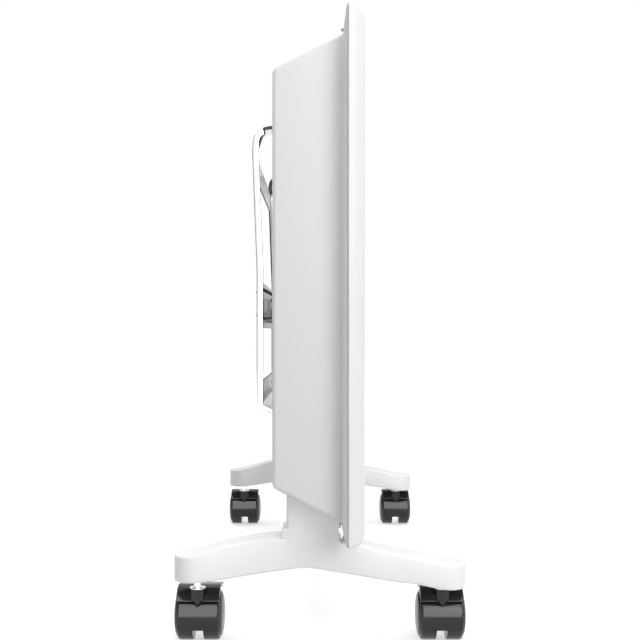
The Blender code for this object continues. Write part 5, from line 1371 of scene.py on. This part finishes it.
@dataclass
class Controls:
    """Thermostat knob, rocker, pilot lamp and their plate on the right end."""

    middle_y: float = 0.0094
    knob_z: float = 0.406
    knob_x: float = 0.3031
    knob_radius: float = 0.0150
    grip_radius: float = 0.0135
    knob_depth: float = 0.0130
    knob_edge: float = 0.0012
    skirt: float = 0.0030
    skirt_edge: float = 0.0004
    knob_steps: int = 180
    crown_steps: int = 16
    edge_steps: int = 5
    grip_share: float = 0.9
    ridge_depth: float = 0.00025
    ridges: float = 36.0
    mark_half: float = 0.0007
    mark_depth: float = 0.0008
    mark_share: float = 0.35
    bore: float = 0.0033
    seat: float = 0.0103
    lens_z: float = 0.378
    lens: Pairs = ((0.0, 0.0065), (0.0009, 0.0064), (0.0017, 0.0060), (0.0023, 0.0053), (0.0025, 0.0047),
                   (0.0025, 0.0), (0.0037, 0.0), (0.0037, -0.0012), (0.0, -0.0012))
    lens_x: float = 0.2985
    plate_edge: float = 0.0005
    rocker_edge: float = 0.0004

    def knob(self) -> Shell:
        """The knob as a polar grid of a profile.

        Along the grip its radius shrinks by depth * (0.5 + 0.5 * cos(ridges * t)) at the angle t, and its
        top sinks by the mark's depth along its upper radius.

        Returns:
            The shell.
        """
        rim, top = self.grip_radius - self.knob_edge, self.knob_depth - self.knob_edge
        edge = arc(self.knob_edge, math.pi / 2, 0.0, self.edge_steps, (rim, top))
        crown = np.linspace(0.0, rim, self.crown_steps)
        crown = np.stack([crown, np.full(len(crown), self.knob_depth)], axis=1)
        foot = self.skirt - self.knob_edge
        tail = [(self.grip_radius, self.skirt), (self.knob_radius - self.skirt_edge, foot),
                (self.knob_radius, foot - self.skirt_edge), (self.knob_radius, 0.0),
                (self.bore, 0.0), (self.bore, self.seat), (0.0, self.seat)]
        profile = np.concatenate([crown, edge[1:], tail])
        turn = np.linspace(0.0, math.tau, self.knob_steps, endpoint=False)
        flat, depth = profile[:, :1, None] * spokes(turn), profile[:, 1:]
        marked = (np.abs(flat[..., 0]) < self.mark_half) & (flat[..., 1] > self.mark_share * self.grip_radius)
        marked &= depth > top
        marked[len(crown) + self.edge_steps:] = False
        ridges = self.ridge_depth * (0.5 + 0.5 * np.cos(turn * self.ridges))[None, :, None]
        grip = (profile[:, 1] < top) & (profile[:, 0] > self.grip_share * self.grip_radius)
        grip &= profile[:, 1] >= self.skirt
        shrink = np.where(grip[:, None, None], 1.0 - ridges / self.grip_radius, 1.0)
        shell = ring_shell(lay(flat * shrink, depth - marked * self.mark_depth, Plane.END))
        return shell.moved((self.knob_x, self.middle_y, self.knob_z))

    def build(self) -> None:
        """Builds the knob, lens and plate, and dresses what stays."""
        fit(make_piece("knob_grip", self.knob()), WHITE_MOULDING, "thermostat_knob")
        lens = turned(np.array(self.lens), Plane.END).moved((self.lens_x, self.middle_y, self.lens_z))
        fit(make_piece("lamp_lens", lens), AMBER_LENS, "indicator_lens")
        fit(merged_copy("control_plate", "control_bezel", self.plate_edge), GREY_PLASTIC, "control_bezel")
        fit(merged_copy("heat_rocker", "switch_rocker", self.rocker_edge), BLACK_PLASTIC, "switch_rocker")
        dress("thermostat_body", GREY_PLASTIC)
        dress("thermostat_shaft", ZINC_PLATE)
        dress("switch_body", BLACK_PLASTIC)


@dataclass(frozen=True)
class Lamp:
    """A soft rectangular lamp: where it stands, where it looks, its size and its radiance."""

    name: str
    place: Triple
    aim: Triple
    size: Pair
    radiance: float
    gloss_only: bool = False

    def build(self) -> None:
        """Places the lamp, of power radiance * pi * area. A gloss-only lamp shows in reflections alone."""
        data = bpy.data.lights.new(self.name, "AREA")
        data.shape = "RECTANGLE"
        data.size, data.size_y = self.size
        data.energy = self.radiance * math.pi * self.size[0] * self.size[1]
        lamp = bpy.data.objects.new(self.name, data)
        lamp.location = self.place
        lamp.visible_diffuse = not self.gloss_only
        toward = Vector(self.aim) - Vector(self.place)
        lamp.rotation_euler = toward.to_track_quat("-Z", "Y").to_euler()
        bpy.context.scene.collection.objects.link(lamp)


@dataclass(frozen=True)
class Card:
    """A dark upright card that shows in gloss alone, so that bright metal keeps its outlines."""

    name: str
    foot: Pair
    half_width: float
    height: float
    grey: float = 0.01

    def build(self) -> None:
        """Stands the card on the floor. Its foot runs across the line from its middle to the origin."""
        foot = np.asarray(self.foot)
        across = np.array([-foot[1], foot[0]]) / np.linalg.norm(foot) * self.half_width
        corners = [(*(foot - across), 0.0), (*(foot + across), 0.0), (*(foot + across), self.height),
                   (*(foot - across), self.height)]
        card = make_piece(self.name, Shell(np.array(corners), [[0, 1, 2, 3]]))
        card.visible_camera = card.visible_diffuse = card.visible_shadow = card.visible_transmission = False
        card.data.materials.append(plain_material(f"{self.name}_black", self.grey, 1.0, 0.0))


@dataclass
class Studio:
    """Camera, lamps, pale floor and a world that is white to the camera, to gloss and through glass."""

    camera_place: Triple = (-1.0962, 0.0, 0.245)
    lens: float = 59.906
    sensor: float = 36.0
    shift_y: float = 12.9 / 640.0
    clip: Pair = (0.01, 100.0)
    ambient: float = 0.24
    floor_reach: float = 6.0
    floor_rings: tuple[float, ...] = (0.0, 0.05, 0.2, 1.0)
    floor_steps: int = 64
    floor_grey: float = 0.62
    floor_roughness: float = 0.9
    floor_specular: float = 0.1
    floor_glow: float = 0.60
    glow_fade: Pair = (0.6, 3.0)
    lamps: tuple[Lamp, ...] = (
        Lamp("strip_behind_camera", (-3.6, 0.0, 2.2), (0.0, 0.0, 2.2), (1.9, 4.4), 4.0, gloss_only=True),
        Lamp("key_softbox", (-2.5, -1.3, 1.1), (-0.1, 0.0, 0.25), (1.6, 1.6), 3.9),
        Lamp("top_softbox", (-0.9, -0.1, 2.5), (-0.2, 0.0, 0.2), (1.8, 1.8), 3.8),
        Lamp("front_fill", (0.6, -3.0, 1.4), (0.0, 0.0, 0.25), (1.8, 1.8), 1.4),
        Lamp("rear_fill", (2.6, 2.2, 1.5), (0.0, 0.0, 0.25), (1.8, 1.8), 5.0),
    )
    cards: tuple[Card, ...] = (Card("rear_card", (1.15, 1.64), 1.2, 1.6),)

    def add_camera(self) -> None:
        """Sets up the camera at the photograph's place."""
        data = bpy.data.cameras.new("photo_camera")
        data.lens, data.sensor_width = self.lens, self.sensor
        data.shift_y = self.shift_y
        data.clip_start, data.clip_end = self.clip
        camera = bpy.data.objects.new("photo_camera", data)
        camera.location = self.camera_place
        camera.rotation_euler = (math.pi / 2, 0.0, -math.pi / 2)
        bpy.context.scene.collection.objects.link(camera)
        bpy.context.scene.camera = camera

    @staticmethod
    def seen_directly(graph: Graph) -> bpy.types.NodeSocket:
        """Adds a socket that is 1 for camera, glossy and transmission rays and 0 for the others.

        Args:
            graph: The node tree that gets it.

        Returns:
            The socket.
        """
        path = graph.add("LightPath", {})
        total = path.outputs["Is Camera Ray"]
        for kind in ("Is Glossy Ray", "Is Transmission Ray"):
            total = graph.add("Math", {0: total, 1: path.outputs[kind]}, operation="MAXIMUM").outputs[0]
        return total

    def add_world(self) -> None:
        """A white world where it is seen, and a dimmer even fill where it only lights."""
        world = bpy.data.worlds.new("studio_world")
        graph = Graph(world)
        fill = graph.fill(graph.nodes["Background"], {"Color": WHITE, "Strength": self.ambient})
        seen = graph.add("Background", {"Color": WHITE, "Strength": 1.0})
        mix = graph.add("MixShader", {"Fac": self.seen_directly(graph), 1: fill.outputs[0],
                                      2: seen.outputs[0]})
        graph.fill(graph.nodes["World Output"], {"Surface": mix.outputs[0]})
        bpy.context.scene.world = world

    def add_floor(self) -> None:
        """A pale round floor that keeps the shadow. Where it is seen it glows, up to white far off."""
        last = math.tau * (self.floor_steps - 1) / self.floor_steps
        rings = np.stack([arc(self.floor_reach * share, 0.0, last, self.floor_steps - 1)
                          for share in self.floor_rings])
        shell = ring_shell(lay(rings, 0.0, Plane.PLAN))
        floor = make_piece("studio_floor", Shell(shell.points, shell.faces[:-2]))
        material = plain_material("pale_floor", self.floor_grey, self.floor_roughness, self.floor_specular)
        graph = Graph(material)
        place = graph.add("TexCoord", {})
        far = graph.add("VectorMath", {0: place.outputs["Object"]}, operation="LENGTH")
        near, away = self.glow_fade
        fade = graph.add("MapRange", {"Value": far.outputs["Value"], "From Min": near, "From Max": away,
                                      "To Min": self.floor_glow, "To Max": 1.0})
        power = graph.add("Math", {0: self.seen_directly(graph), 1: fade.outputs["Result"]},
                          operation="MULTIPLY")
        glow = graph.add("Emission", {"Strength": power.outputs[0]})
        both = graph.add("AddShader", {0: graph.nodes["Principled BSDF"].outputs[0], 1: glow.outputs[0]})
        graph.fill(graph.nodes["Material Output"], {"Surface": both.outputs[0]})
        floor.data.materials.append(material)

    def build(self) -> None:
        """Sets up the whole studio."""
        self.add_camera()
        self.add_world()
        self.add_floor()
        for lamp in self.lamps:
            lamp.build()
        for card in self.cards:
            card.build()
        bpy.context.scene.view_settings.view_transform = "Standard"


def main() -> None:
    """Builds the studio and then the heater from its panel outwards."""
    logging.basicConfig(level=logging.INFO, format="%(name)s: %(message)s", stream=sys.stdout)
    for assembly in (Studio(), FrontPanel(), RearCasing(), WallBracket(), Feet(), Casters(), Controls()):
        LOG.info("building %s", type(assembly).__name__)
        assembly.build()


if __name__ == "__main__":
    main()
